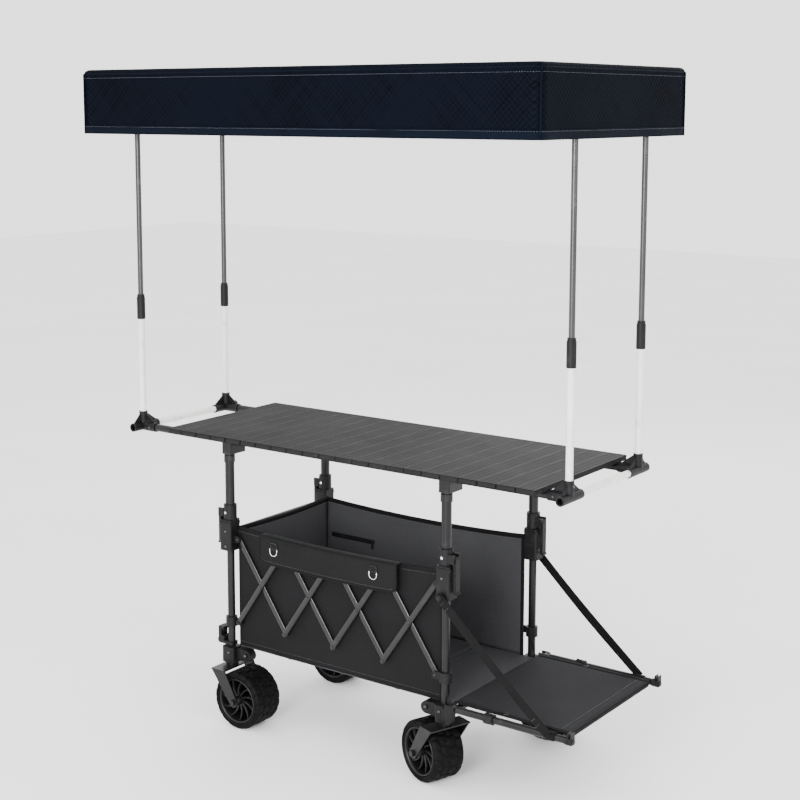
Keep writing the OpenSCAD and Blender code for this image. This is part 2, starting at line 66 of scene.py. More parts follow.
scene = bpy.context.scene
print("frame loaded,", len(nodes), "solids")


# camera, lights and floor

cameraSettings = {
    "place": (2.518, -3.417, 1.784),
    "towardCamera": (0.5875, -0.7972, 0.1392),
    "lens": 68.8,
    "shift": (0.0247, -0.0986),
}


def addCamera(settings):
    data = bpy.data.cameras.new("camera")
    data.lens = settings["lens"]
    data.sensor_width = 36
    data.shift_x, data.shift_y = settings["shift"]
    camera = bpy.data.objects.new("camera", data)
    camera.location = settings["place"]
    camera.rotation_mode = "QUATERNION"
    camera.rotation_quaternion = (-Vector(settings["towardCamera"])).to_track_quat("-Z", "Y")
    scene.collection.objects.link(camera)
    scene.camera = camera


addCamera(cameraSettings)

lamps = [
    # name, place, size, power in watts
    ("keyLamp", (-1.6, -4.2, 3.6), 2.6, 60),
    ("fillLamp", (4.4, -1.2, 2.6), 2.4, 90),
    ("backLamp", (-0.6, 3.6, 3.0), 3.0, 50),
    ("lowLamp", (1.2, -3.9, 1.75), 1.5, 230),
]
lampAim = Vector((0, 0, 0.8))


def addLamp(name, place, size, power):
    data = bpy.data.lights.new(name, "AREA")
    data.shape = "SQUARE"
    data.size = size
    data.energy = power
    lamp = bpy.data.objects.new(name, data)
    lamp.location = place
    lamp.rotation_mode = "QUATERNION"
    lamp.rotation_quaternion = (lampAim - Vector(place)).to_track_quat("-Z", "Y")
    scene.collection.objects.link(lamp)


for lamp in lamps:
    addLamp(*lamp)

world = bpy.data.worlds.new("paleRoom")
scene.world = world
world.use_nodes = True
world.node_tree.nodes["Background"].inputs["Color"].default_value = (1, 1, 1, 1)
world.node_tree.nodes["Background"].inputs["Strength"].default_value = 2.3
print("camera and lamps placed")


# material helpers


def toLinear(hexText):
    # an sRGB hex colour as the linear colour that a shader takes
    parts = [int(hexText[i : i + 2], 16) / 255 for i in (1, 3, 5)]
    return [p / 12.92 if p <= 0.04045 else ((p + 0.055) / 1.055) ** 2.4 for p in parts] + [1]


def addNode(tree, kind, settings=None, links=None):
    # settings are the node's own options or its sockets' values; links go from sockets of other nodes
    node = tree.nodes.new("ShaderNode" + kind)
    for key, value in (settings or {}).items():
        if isinstance(key, int) or key in node.inputs:
            node.inputs[key].default_value = value
        else:
            setattr(node, key, value)
    for key, source in (links or {}).items():
        tree.links.new(source, node.inputs[key])
    return node


def startMaterial(name, settings):
    material = bpy.data.materials.new(name)
    material.use_nodes = True
    shader = material.node_tree.nodes["Principled BSDF"]
    for key, value in settings.items():
        shader.inputs[key].default_value = value
    return material, material.node_tree, shader


def perMetre(millimetres):
    # how many times a pattern of this size repeats in a metre
    return 1000 / millimetres


def colourRamp(tree, low, high, factor, start, end):
    # from one hex colour to another, between two values of the factor
    ramp = addNode(tree, "ValToRGB", links={"Fac": factor})
    for element, colour, position in zip(ramp.color_ramp.elements, (low, high), (start, end)):
        element.color = toLinear(colour)
        element.position = position
    return ramp.outputs["Color"]


def remap(tree, source, low, high):
    node = addNode(tree, "MapRange", {"To Min": low, "To Max": high}, {"Value": source})
    return node.outputs["Result"]


def bump(tree, shader, height, strength, distance, below=None):
    links = {"Height": height}
    if below:
        links["Normal"] = below.outputs["Normal"]
    node = addNode(tree, "Bump", {"Strength": strength, "Distance": distance}, links)
    tree.links.new(node.outputs["Normal"], shader.inputs["Normal"])
    return node


def grainedSurface(name, recipe):
    # a moulded or sprayed surface: fine grain in the relief, slow clouding and dust in colour and gloss
    material, tree, shader = startMaterial(name, recipe["shader"])
    place = {"Vector": addNode(tree, "TexCoord").outputs["Object"]}
    cloud, grain, scuff = [
        addNode(tree, "TexNoise", {"Scale": perMetre(recipe[size]), "Detail": detail}, place).outputs["Fac"]
        for size, detail in (("cloudMm", 5), ("grainMm", 3), ("scuffMm", 8))
    ]
    body = colourRamp(tree, recipe["dark"], recipe["light"], cloud, 0.35, 0.7)
    mask = addNode(tree, "MapRange", {"From Min": 0.58, "From Max": 0.74}, {"Value": scuff}).outputs["Result"]
    worn = {"data_type": "RGBA", 7: toLinear(recipe["worn"])}
    tree.links.new(addNode(tree, "Mix", worn, {0: mask, 6: body}).outputs[2], shader.inputs["Base Color"])
    tree.links.new(remap(tree, scuff, *recipe["roughness"]), shader.inputs["Roughness"])
    bump(tree, shader, grain, recipe["relief"], recipe["reliefMm"] / 1000)
    return material


# hard finishes

# black powder coat on steel: a satin skin with an orange-peel ripple that softens its highlights
coatedSteel = grainedSurface("blackPowderCoat", {
    "shader": {"Metallic": 0.0, "IOR": 1.5, "Coat Weight": 0.12, "Coat Roughness": 0.2,
        "Specular IOR Level": 0.18},
    "dark": "#080809", "light": "#0f0f11", "worn": "#1f1f22", "cloudMm": 90, "grainMm": 2.2,
    "scuffMm": 34, "roughness": (0.3, 0.46), "relief": 0.12, "reliefMm": 0.4,
})

# satin steel bars, lacquered dark grey: brighter than the cloth, with crisp highlights along their edges
satinBar = grainedSurface("greySatinSteel", {
    "shader": {"Metallic": 0.0, "Specular IOR Level": 0.25, "Coat Weight": 0.3, "Coat Roughness": 0.08},
    "dark": "#040405", "light": "#08080a", "worn": "#161618", "cloudMm": 70, "grainMm": 1.6,
    "scuffMm": 28, "roughness": (0.26, 0.4), "relief": 0.1, "reliefMm": 0.3,
})

# glass-filled nylon, moulded: matt, with a spark-eroded grain and greyed high spots
mouldedNylon = grainedSurface("mouldedNylon", {
    "shader": {"Metallic": 0.0, "IOR": 1.53, "Specular IOR Level": 0.16},
    "dark": "#080809", "light": "#0f0f11", "worn": "#1c1c1e", "cloudMm": 60, "grainMm": 1.6,
    "scuffMm": 22, "roughness": (0.4, 0.62), "relief": 0.3, "reliefMm": 0.5,
})

# polypropylene wheel body: a little glossier than the nylon, with flow marks
mouldedRim = grainedSurface("mouldedPolypropylene", {
    "shader": {"Metallic": 0.0, "IOR": 1.49, "Specular IOR Level": 0.25},
    "dark": "#080809", "light": "#0f0f10", "worn": "#1a1a1c", "cloudMm": 40, "grainMm": 1.8,
    "scuffMm": 30, "roughness": (0.28, 0.48), "relief": 0.15, "reliefMm": 0.4,
})

# thermoplastic rubber tread: matt, dusty where it touches the ground
treadRubber = grainedSurface("treadRubber", {
    "shader": {"Metallic": 0.0, "IOR": 1.52, "Specular IOR Level": 0.08},
    "dark": "#040404", "light": "#080808", "worn": "#111111", "cloudMm": 45, "grainMm": 2.0,
    "scuffMm": 18, "roughness": (0.5, 0.78), "relief": 0.4, "reliefMm": 0.6,
})

# white powder coat on the poles' lower tubes: gloss, with faint grey handling marks
whiteCoat = grainedSurface("whitePowderCoat", {
    "shader": {"Metallic": 0.0, "IOR": 1.5, "Coat Weight": 0.3, "Coat Roughness": 0.15},
    "dark": "#d9d4d2", "light": "#e9e5e3", "worn": "#c4bfbd", "cloudMm": 120, "grainMm": 2.4,
    "scuffMm": 40, "roughness": (0.22, 0.36), "relief": 0.08, "reliefMm": 0.3,
})

# grey powder coat with metal flake on the sliding tubes
greyCoat = grainedSurface("greyPowderCoat", {
    "shader": {"Metallic": 0.2, "Coat Weight": 0.2, "Coat Roughness": 0.2},
    "dark": "#1a1a1c", "light": "#262628", "worn": "#38383b", "cloudMm": 140, "grainMm": 1.4,
    "scuffMm": 36, "roughness": (0.3, 0.44), "relief": 0.1, "reliefMm": 0.3,
})


def brushedMetal(name, recipe):
    # long fine scratches along one direction, which stretch the highlights across it
    material, tree, shader = startMaterial(name, recipe["shader"])
    place = addNode(tree, "TexCoord").outputs["Object"]
    lay = addNode(tree, "Mapping", {"Scale": recipe["stretch"]}, {"Vector": place}).outputs["Vector"]
    scratch, cloud = [
        addNode(tree, "TexNoise", {"Scale": perMetre(recipe[size]), "Detail": 4}, way).outputs["Fac"]
        for size, way in (("grainMm", {"Vector": lay}), ("cloudMm", {"Vector": place}))
    ]
    add = {"operation": "MULTIPLY_ADD", 1: 0.55}
    both = addNode(tree, "Math", add, {0: scratch, 2: cloud}).outputs["Value"]
    colour = colourRamp(tree, recipe["dark"], recipe["light"], both, 0.55, 1.0)
    tree.links.new(colour, shader.inputs["Base Color"])
    tree.links.new(remap(tree, scratch, *recipe["roughness"]), shader.inputs["Roughness"])
    bump(tree, shader, scratch, recipe["relief"], 0.0003)
    return material


# grey anodised aluminium slats, extruded and brushed along their length
anodisedSlat = brushedMetal("greyAnodisedAluminium", {
    "shader": {"Metallic": 0.0, "Specular IOR Level": 0.04},
    "dark": "#151415", "light": "#242324", "grainMm": 3.0, "cloudMm": 130,
    "stretch": (1.0, 0.03, 1.0), "roughness": (0.45, 0.62), "relief": 0.18,
})

# bright chrome plate on the rings and buttons
chromePlate = brushedMetal("chromePlate", {
    "shader": {"Metallic": 1.0},
    "dark": "#c4c4c6", "light": "#efeff0", "grainMm": 1.5, "cloudMm": 20,
    "stretch": (1.0, 1.0, 1.0), "roughness": (0.08, 0.2), "relief": 0.03,
})

# smoky zinc plate on screws and eyelets: a dull dark grey
zincPlate = brushedMetal("zincPlate", {
    "shader": {"Metallic": 1.0},
    "dark": "#38383a", "light": "#565659", "grainMm": 1.2, "cloudMm": 12,
    "stretch": (1.0, 1.0, 1.0), "roughness": (0.28, 0.45), "relief": 0.1,
})


# woven finishes: their UV maps are in metres along the two threads


def wovenCloth(name, recipe):
    # over-and-under threads from two bands and a checker, with slubs along both and slow fading
    material, tree, shader = startMaterial(name, recipe["shader"])
    cloth = {"Vector": addNode(tree, "TexCoord").outputs["UV"]}
    turn = {"Rotation": (0, 0, recipe.get("turn", 0))}
    turned = {"Vector": addNode(tree, "Mapping", turn, cloth).outputs["Vector"]}
    threads = perMetre(recipe["threadMm"])
    bands = threads * math.pi / 10
    warp, weft = [
        addNode(tree, "TexWave", {"bands_direction": way, "Scale": bands}, turned).outputs["Fac"]
        for way in ("X", "Y")
    ]
    checker = addNode(tree, "TexChecker", {"Scale": threads}, turned).outputs["Fac"]
    over = addNode(tree, "Mix", {"data_type": "FLOAT"}, {0: checker, 2: warp, 3: weft}).outputs[0]
    slubs = []
    for stretch in ((1, 0.06, 1), (0.06, 1, 1)):
        lay = {"Vector": addNode(tree, "Mapping", {"Scale": stretch}, turned).outputs["Vector"]}
        slubs.append(addNode(tree, "TexNoise", {"Scale": threads / 1.6, "Detail": 2}, lay).outputs["Fac"])
    slub = addNode(tree, "Math", {"operation": "ADD"}, {0: slubs[0], 1: slubs[1]}).outputs["Value"]
    fade = addNode(tree, "TexNoise", {"Scale": perMetre(recipe["fadeMm"]), "Detail": 3}, cloth).outputs["Fac"]
    tone = addNode(tree, "Math", {"operation": "MULTIPLY_ADD", 1: 0.4}, {0: slub, 2: fade}).outputs["Value"]
    shade = addNode(tree, "Math", {"operation": "MULTIPLY_ADD", 1: 0.22}, {0: over, 2: tone}).outputs["Value"]
    contrast = recipe.get("contrast", (0.55, 1.25))
    colour = colourRamp(tree, recipe["dark"], recipe["light"], shade, *contrast)
    tree.links.new(colour, shader.inputs["Base Color"])
    rough = recipe["roughness"]
    tree.links.new(remap(tree, over, rough[1], rough[0]), shader.inputs["Roughness"])
    slow = bump(tree, shader, slub, recipe["relief"], 0.0008)
    bump(tree, shader, over, recipe["relief"], recipe["reliefMm"] / 1000, slow)
    return material


dullCloth = {"Metallic": 0.0, "IOR": 1.5, "Specular IOR Level": 0.06, "Sheen Weight": 0.01}

# coated polyester canvas of the tub: threads of 0.6 mm are drawn at 3 mm so that they show
tubCanvas = wovenCloth("greyPolyesterCanvas", {
    "shader": dullCloth,
    "dark": "#0c0c0d", "light": "#141415", "threadMm": 3.0, "fadeMm": 260,
    "roughness": (0.62, 0.85), "relief": 0.35, "reliefMm": 0.5,
})

# the tailgate's panel: the same canvas, greyed by use
panelCanvas = wovenCloth("wornPolyesterCanvas", {
    "shader": dullCloth,
    "dark": "#131314", "light": "#1c1c1e", "threadMm": 3.0, "fadeMm": 200,
    "roughness": (0.62, 0.85), "relief": 0.3, "reliefMm": 0.5,
})

# the inner face of the tub and the floor mat: the canvas painted a lighter grey, as painted light on the
# shaded inside of the tub; smoother than the canvas outside
tubCanvasPaintedLight = wovenCloth("greyCanvasPaintedLight", {
    "shader": dullCloth,
    "dark": "#2c2c2e", "light": "#363638", "threadMm": 3.0, "fadeMm": 260, "roughness": (0.6, 0.8),
    "relief": 0.2, "reliefMm": 0.4,
})

# waterproof twill of the canopy: its 0.8 mm diagonal is drawn at 11 mm, the least that shows as a weave
canopyTwill = wovenCloth("navyCoatedTwill", {
    "shader": {"Metallic": 0.0, "IOR": 1.5, "Specular IOR Level": 0.02, "Sheen Weight": 0.0},
    "dark": "#000001", "light": "#050810", "contrast": (0.62, 1.15), "threadMm": 11.0,
    "turn": math.radians(45), "fadeMm": 320, "roughness": (0.55, 0.78), "relief": 0.3,
    "reliefMm": 0.5,
})

# polypropylene webbing: fat ribs at 3 mm across a hard flat band
strapWebbing = wovenCloth("blackWebbing", {
    "shader": {"Metallic": 0.0, "IOR": 1.49, "Specular IOR Level": 0.08, "Sheen Weight": 0.01},
    "dark": "#040404", "light": "#0a0a0b", "threadMm": 3.2, "fadeMm": 60, "roughness": (0.5, 0.7),
    "relief": 0.6, "reliefMm": 0.9,
})

# bound edges and hems: the same canvas folded double, darker where the tape covers it
edgeTape = wovenCloth("polyesterEdgeTape", {
    "shader": dullCloth,
    "dark": "#09090a", "light": "#101011", "threadMm": 2.4, "fadeMm": 120, "roughness": (0.6, 0.8),
    "relief": 0.5, "reliefMm": 0.6,
})

navyTape = wovenCloth("navyEdgeTape", {
    "shader": {"Metallic": 0.0, "IOR": 1.5, "Specular IOR Level": 0.03, "Sheen Weight": 0.0},
    "dark": "#010205", "light": "#060b15", "threadMm": 2.4, "fadeMm": 160,
    "roughness": (0.55, 0.75), "relief": 0.5, "reliefMm": 0.6,
})


def threadFinish(name, dark, light):
    # bonded sewing thread: a slight shine with darker twists
    material, tree, shader = startMaterial(name, {"Roughness": 0.5, "Sheen Weight": 0.2})
    place = {"Vector": addNode(tree, "TexCoord").outputs["Object"]}
    twist = addNode(tree, "TexNoise", {"Scale": perMetre(5), "Detail": 2}, place).outputs["Fac"]
    tree.links.new(colourRamp(tree, dark, light, twist, 0.3, 0.7), shader.inputs["Base Color"])
    bump(tree, shader, twist, 0.3, 0.0003)
    return material


greyThread = threadFinish("greyThread", "#131314", "#1e1e20")
navyThread = threadFinish("navyThread", "#0b1220", "#182338")
paleThread = threadFinish("paleThread", "#2a2a2b", "#3e3d3e")


def paleFloor():
    # a painted studio floor: almost white, with the faintest roller texture
    material, tree, shader = startMaterial("paleStudioPaint", {"Roughness": 0.7, "IOR": 1.45})
    place = {"Vector": addNode(tree, "TexCoord").outputs["Object"]}
    cloud = addNode(tree, "TexNoise", {"Scale": perMetre(900), "Detail": 3}, place).outputs["Fac"]
    tree.links.new(colourRamp(tree, "#f1f1f0", "#f6f6f5", cloud, 0.3, 0.7), shader.inputs["Base Color"])
    return material


floorMesh = bpy.data.meshes.new("studioFloor")
floorHalf = 14
floorPoints = [(x * floorHalf, y * floorHalf, 0) for x, y in ((-1, -1), (1, -1), (1, 1), (-1, 1))]
floorMesh.from_pydata(floorPoints, [], [(0, 1, 2, 3)])
floorMesh.materials.append(paleFloor())
studioFloor = bpy.data.objects.new("studioFloor", floorMesh)
scene.collection.objects.link(studioFloor)
print("materials mixed")


# finishes of the solids that stay as they are

cornerNames = ("nl", "fl", "nr", "fr")
finishes = {
    coatedSteel: ["left_posts", "right_posts", "left_cross_tubes", "right_cross_tube", "left_legs",
        "right_legs", "left_inner_legs", "right_inner_legs", "tail_tubes", "table_rails", "canopy_frame"]
    + ["fork_" + corner for corner in cornerNames],
    mouldedNylon: ["left_brackets", "right_brackets", "left_castings", "right_castings", "left_clips",
        "left_collars", "right_collars", "corner_fittings", "pole_sleeves", "tail_fittings"]
    + ["lever_" + corner for corner in cornerNames],
    chromePlate: ["left_buttons", "right_buttons"],
    anodisedSlat: ["table_slats"],
    edgeTape: ["table_cords"],
    whiteCoat: ["end_tubes", "lower_poles"],
    greyCoat: ["upper_poles"],
}
for finish, names in finishes.items():
    for name in names:
        nodes[name].data.materials.clear()
        nodes[name].data.materials.append(finish)


# mesh helpers


def makePiece(name, points, faces, material, uvs=None, smooth=True):
    mesh = bpy.data.meshes.new(name)
    mesh.from_pydata([tuple(p) for p in points], [], faces)
    if uvs:
        layer = mesh.uv_layers.new(name="metres")
        for loop in mesh.loops:
            layer.data[loop.index].uv = uvs[loop.vertex_index]
    for polygon in mesh.polygons:
        polygon.use_smooth = smooth
    mesh.materials.append(material)
    piece = bpy.data.objects.new(name, mesh)
    scene.collection.objects.link(piece)
    return piece


def applySteps(piece, *steps):
    # adds modifiers and applies them, so that the mesh is final
    for kind, settings in steps:
        modifier = piece.modifiers.new(kind, kind)
        for key, value in settings.items():
            setattr(modifier, key, value)
    evaluated = piece.evaluated_get(bpy.context.evaluated_depsgraph_get())
    piece.data = bpy.data.meshes.new_from_object(evaluated)
    piece.modifiers.clear()
    return piece


def gridFaces(across, along):
    row = across + 1
    starts = [j * row + i for j in range(along) for i in range(across)]
    return [(a, a + 1, a + row + 1, a + row) for a in starts]


def tubeFaces(first, rings, sides, closed=False):
    # the quads between rings of points that follow one another in the list
    faces = []
    for ring in range(rings if closed else rings - 1):
        a, b = first + ring * sides, first + (ring + 1) % rings * sides
        for k in range(sides):
            after = (k + 1) % sides
            faces.append((a + k, a + after, b + after, b + k))
    return faces


def spun(side, up, angle):
    # a direction turned from side toward up
    return side * math.cos(angle) + up * math.sin(angle)


def gridSheet(name, size, step, place, material, thickness, back=None):
    # a sheet of this width and length in metres; place(u, v) gives its points, with u and v from 0 to 1
    across, along = (max(2, round(length / step)) for length in size)
    points, uvs = [], []
    for j in range(along + 1):
        for i in range(across + 1):
            points.append(place(i / across, j / along))
            uvs.append((i / across * size[0], j / along * size[1]))
    piece = makePiece(name, points, gridFaces(across, along), material, uvs)
    if back:
        piece.data.materials.append(back)
    if thickness:
        turned = 1 if back else 0
        applySteps(piece, ("SOLIDIFY", {"thickness": thickness, "offset": 0, "material_offset": turned}))
    return piece


def bead(name, path, radius, material, flat=1.0, closed=False, sides=8):
    # a round or flattened cord along a path; flat squeezes it across the path
    count = len(path)
    points, uvs = [], []
    travelled = 0
    for index, point in enumerate(path):
        ahead = path[(index + 1) % count] if closed or index + 1 < count else point
        behind = path[index - 1] if closed or index else point
        forward = (Vector(ahead) - Vector(behind)).normalized()
        side = forward.cross(Vector((0, 0, 1)))
        if side.length < 0.2:
            side = forward.cross(Vector((0, 1, 0)))
        side.normalize()
        up = side.cross(forward)
        if index:
            travelled += (Vector(point) - Vector(path[index - 1])).length
        for k in range(sides):
            angle = 2 * math.pi * k / sides
            points.append(Vector(point) + (side * math.cos(angle) * flat + up * math.sin(angle)) * radius)
            uvs.append((travelled, k * radius))
    faces = tubeFaces(0, count, sides, closed)
    if not closed:
        faces.append(tuple(range(sides))[::-1])
        faces.append(tuple(range((count - 1) * sides, count * sides)))
    return makePiece(name, points, faces, material, uvs)


stitchSize = {"pitch": 0.0075, "length": 0.0048, "radius": 0.0007}


def stitches(name, paths, material):
    # thread dashes along each path, drawn at twice their real pitch so that they show
    points, faces = [], []
    for path in paths:
        path = [Vector(p) for p in path]
        lengths = [(b - a).length for a, b in zip(path, path[1:])]
        total = sum(lengths)

        def at(distance):
            for start, end, length in zip(path, path[1:], lengths):
                if distance <= length or end is path[-1]:
                    return start.lerp(end, min(1, distance / length) if length else 0)
                distance -= length

        for number in range(int(total / stitchSize["pitch"])):
            begin = at(number * stitchSize["pitch"])
            end = at(number * stitchSize["pitch"] + stitchSize["length"])
            forward = (end - begin).normalized()
            side = forward.cross(Vector((0.31, 0.52, 0.79))).normalized()
            up = side.cross(forward)
            first = len(points)
            for centre, share in ((begin, 0.35), (begin.lerp(end, 0.5), 1.0), (end, 0.35)):
                for k in range(4):
                    turned = spun(side, up, math.pi * (k + 0.5) / 2)
                    points.append(centre + turned * stitchSize["radius"] * share)
            faces += tubeFaces(first, 3, 4)
            faces.append((first + 3, first + 2, first + 1, first))
            faces.append((first + 8, first + 9, first + 10, first + 11))
    return makePiece(name, points, faces, material)


def lathe(name, outline, turns, material, shape=None):
    # turns an outline of (along, radius) pairs about the Y axis
    # shape(angle, along, radius) may change a radius
    points, faces = [], []
    rings = len(outline)
    for turn in range(turns):
        angle = 2 * math.pi * turn / turns
        for along, radius in outline:
            r = shape(angle, along, radius) if shape else radius
            points.append((r * math.cos(angle), along, r * math.sin(angle)))
    for turn in range(turns):
        a, b = turn * rings, (turn + 1) % turns * rings
        for ring in range(rings):
            after = (ring + 1) % rings
            faces.append((a + ring, b + ring, b + after, a + after))
    return makePiece(name, points, faces, material)


def joinPieces(name, pieces):
    # one mesh from several, each with its own finish
    with bpy.context.temp_override(active_object=pieces[0], selected_editable_objects=pieces):
        bpy.ops.object.join()
    pieces[0].name = name
    return pieces[0]


def dress(pieces, slotName, body):
    # the pieces move with one body
    for piece in pieces:
        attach(piece, body)


def wobble(x, y, size, seed=0.0):
    # smooth random height, from about -1 to 1, that changes over the given size in metres
    return noise.noise(Vector((x / size, y / size, seed)))


# canopy: a flat roof and a valance in one sheet

canopy = {
    "skin": 0.0016,
    "edge": 0.012,
    "sag": 0.014,
    "ripple": 0.0032,
    "hem": 0.024,
    "step": 0.016,
    "bendRows": 4,
    "hemRows": 3,
    "tapeLift": 0.0016,
}


def ringAround(low, high, inset, step):
    # the points round a rectangle, each with its outward direction
    x0, x1, y0, y1 = low.x + inset, high.x - inset, low.y + inset, high.y - inset
    countX, countY = round((x1 - x0) / step), round((y1 - y0) / step)
    ring = [(x0 + (x1 - x0) * i / countX, y0, 0 if i else -1, -1) for i in range(countX)]
    ring += [(x1, y0 + (y1 - y0) * j / countY, 1, 0 if j else -1) for j in range(countY)]
    ring += [(x1 - (x1 - x0) * i / countX, y1, 0 if i else 1, 1) for i in range(countX)]
    ring += [(x0, y1 - (y1 - y0) * j / countY, -1, 0 if j else 1) for j in range(countY)]
    return ring, countX, countY


def valanceOffset(travelled, depth, settings):
    # slack waves that grow toward the hem
    wave = math.sin(travelled * 19) * 0.45 + math.sin(travelled * 31 + 1.3) * 0.3
    wave += wobble(travelled, depth, 0.11, 4) * 0.9
    return settings["ripple"] * wave * depth**1.3


def buildCanopy(settings):
    low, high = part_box("canopy_cloth")
    inset = settings["edge"] + 0.001
    ring, countX, countY = ringAround(low, high, inset, settings["step"])
    top = high.z - settings["skin"] / 2
    points, uvs, faces = [], [], []
    index = {}
    width, depth = high.x - low.x, high.y - low.y

    def roofPoint(i, j):
        u, v = i / countX, j / countY
        x = low.x + inset + (width - 2 * inset) * u
        y = low.y + inset + (depth - 2 * inset) * v
        belly = math.sin(math.pi * u) ** 0.7 * math.sin(math.pi * v) ** 0.8
        pulls = wobble(x * 0.6, y, 0.16, 9) * 0.0016 * belly
        return Vector((x, y, top - settings["sag"] * belly + pulls))

    for j in range(countY + 1):
        for i in range(countX + 1):
            index[i, j] = len(points)
            points.append(roofPoint(i, j))
            uvs.append((points[-1].x - low.x, points[-1].y - low.y))
    for j in range(countY):
        for i in range(countX):
            faces.append((index[i, j], index[i + 1, j], index[i + 1, j + 1], index[i, j + 1]))
    order = [(i, 0) for i in range(countX)] + [(countX, j) for j in range(countY)]
    order += [(countX - i, countY) for i in range(countX)] + [(0, countY - j) for j in range(countY)]
    before = [index[key] for key in order]
    bendRows = settings["bendRows"]
    rows = bendRows + round((high.z - low.z) / settings["step"])
    hemPaths = {}
    cornerPaths = [[] for _ in range(4)]
    cornerAt = [0, countX, countX + countY, 2 * countX + countY]
    for row in range(1, rows + 1):
        now = []
        travelled = 0
        for place, (x, y, nx, ny) in enumerate(ring):
            if row <= bendRows:
                angle = math.pi / 2 * row / bendRows
                out = settings["edge"] * math.sin(angle)
                z = top - settings["edge"] * (1 - math.cos(angle))
            else:
                share = (row - bendRows) / (rows - bendRows)
                hang = top - settings["edge"] - low.z - 0.001
                out = settings["edge"] + valanceOffset(travelled, share, settings) * (0 if nx and ny else 1)
                z = top - settings["edge"] - hang * share
            point = Vector((x + nx * out, y + ny * out, z))
            now.append(len(points))
            points.append(point)
            uvs.append((travelled, high.z - z))
            travelled += settings["step"]
            if place in cornerAt and row >= bendRows:
                cornerPaths[cornerAt.index(place)].append(point + Vector((nx, ny, 0)) * 0.0012)
        count = len(ring)
        for place in range(count):
            after = (place + 1) % count
            faces.append((before[place], now[place], now[after], before[after]))
        if row == bendRows:
            hemPaths["edge"] = [points[i].copy() for i in now]
        if row == rows:
            hemPaths["hemBottom"] = [points[i].copy() for i in now]
        before = now
    sheet = makePiece("canopyCloth", points, faces, canopyTwill, uvs)
    applySteps(sheet, ("SOLIDIFY", {"thickness": settings["skin"], "offset": 0}))
    return sheet, hemPaths, cornerPaths, ring


canopyCloth, canopyPaths, canopyCorners, canopyRing = buildCanopy(canopy)
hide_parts("canopy_cloth")
dress([canopyCloth], "canopy_twill", "canopy")


def canopyTrim(settings):
    # a doubled hem and a taped roof edge, each with its thread, and taped corner seams
    low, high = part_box("canopy_cloth")
    bottom = canopyPaths["hemBottom"]
    outward = [Vector((nx, ny, 0)) for _, _, nx, ny in canopyRing]
    count = len(bottom)
    points, faces, uvs = [], [], []
    travelled = 0
    rows = settings["hemRows"]
    share = 1 - settings["hem"] / (high.z - low.z)
    for place in range(count):
        out = outward[place]
        lift = valanceOffset(travelled, share, settings) - valanceOffset(travelled, 1, settings)
        if out.x and out.y:
            lift = 0
        for row in range(rows + 1):
            t = row / rows
            up = Vector((0, 0, settings["hem"] * t - 0.0005))
            points.append(bottom[place] + out * (settings["tapeLift"] + lift * t) + up)
            uvs.append((travelled, settings["hem"] * t))
        travelled += settings["step"]
    for place in range(count):
        a, b = place * (rows + 1), (place + 1) % count * (rows + 1)
        for row in range(rows):
            faces.append((a + row, b + row, b + row + 1, a + row + 1))
    hem = makePiece("canopyHem", points, faces, navyTape, uvs)
    applySteps(hem, ("SOLIDIFY", {"thickness": 0.0014, "offset": 1}))
    loop = [Vector(points[place * (rows + 1) + rows]) for place in range(count)]
    lifted = [point + out * 0.0014 - Vector((0, 0, 0.004)) for point, out in zip(loop, outward)]
    edge = [point + out * 0.0007 for point, out in zip(canopyPaths["edge"], outward)]
    piping = bead("canopyPiping", edge, 0.0022, navyTape, closed=True, sides=6)
    below = [point - Vector((0, 0, 0.011)) + out * 0.0006 for point, out in zip(edge, outward)]
    seams = [bead(f"canopySeam{n}", path, 0.0024, navyTape, sides=6) for n, path in enumerate(canopyCorners)]
    thread = stitches("canopyThread", [lifted + lifted[:1], below + below[:1]], navyThread)
    trim = [hem, piping, thread] + seams
    dress(trim, "canopy_twill", "canopy")
    return trim


canopyPieces = canopyTrim(canopy)
print("canopy sewn")


# tub: walls, floor and the hanging flap

tub = {
    "cloth": 0.0022,
    "rimSag": 0.012,
    "bulge": 0.0022,
    "step": 0.014,
    "rimRadius": 0.0045,
    "band": 0.009,
    "tape": 0.0009,
    "tapeStep": 0.009,
}
tubLow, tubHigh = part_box("near_wall")
floorLow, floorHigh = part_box("tub_floor")
leftEnd, rightEnd = tubLow.x, tubHigh.x
rimHeight = tubHigh.z
floorBottom = floorLow.z


def rimZ(u, sag):
    # the rim hangs a little between its posts
    return rimHeight - tub["rimRadius"] - sag * math.sin(math.pi * u) ** 0.8


def foldAway(pieces, start, end):
    # the cloth stays with the root body, each piece on its own copy of its mesh
    dress(pieces, "tub_canvas", "root")
    for piece in pieces:
        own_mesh(piece)


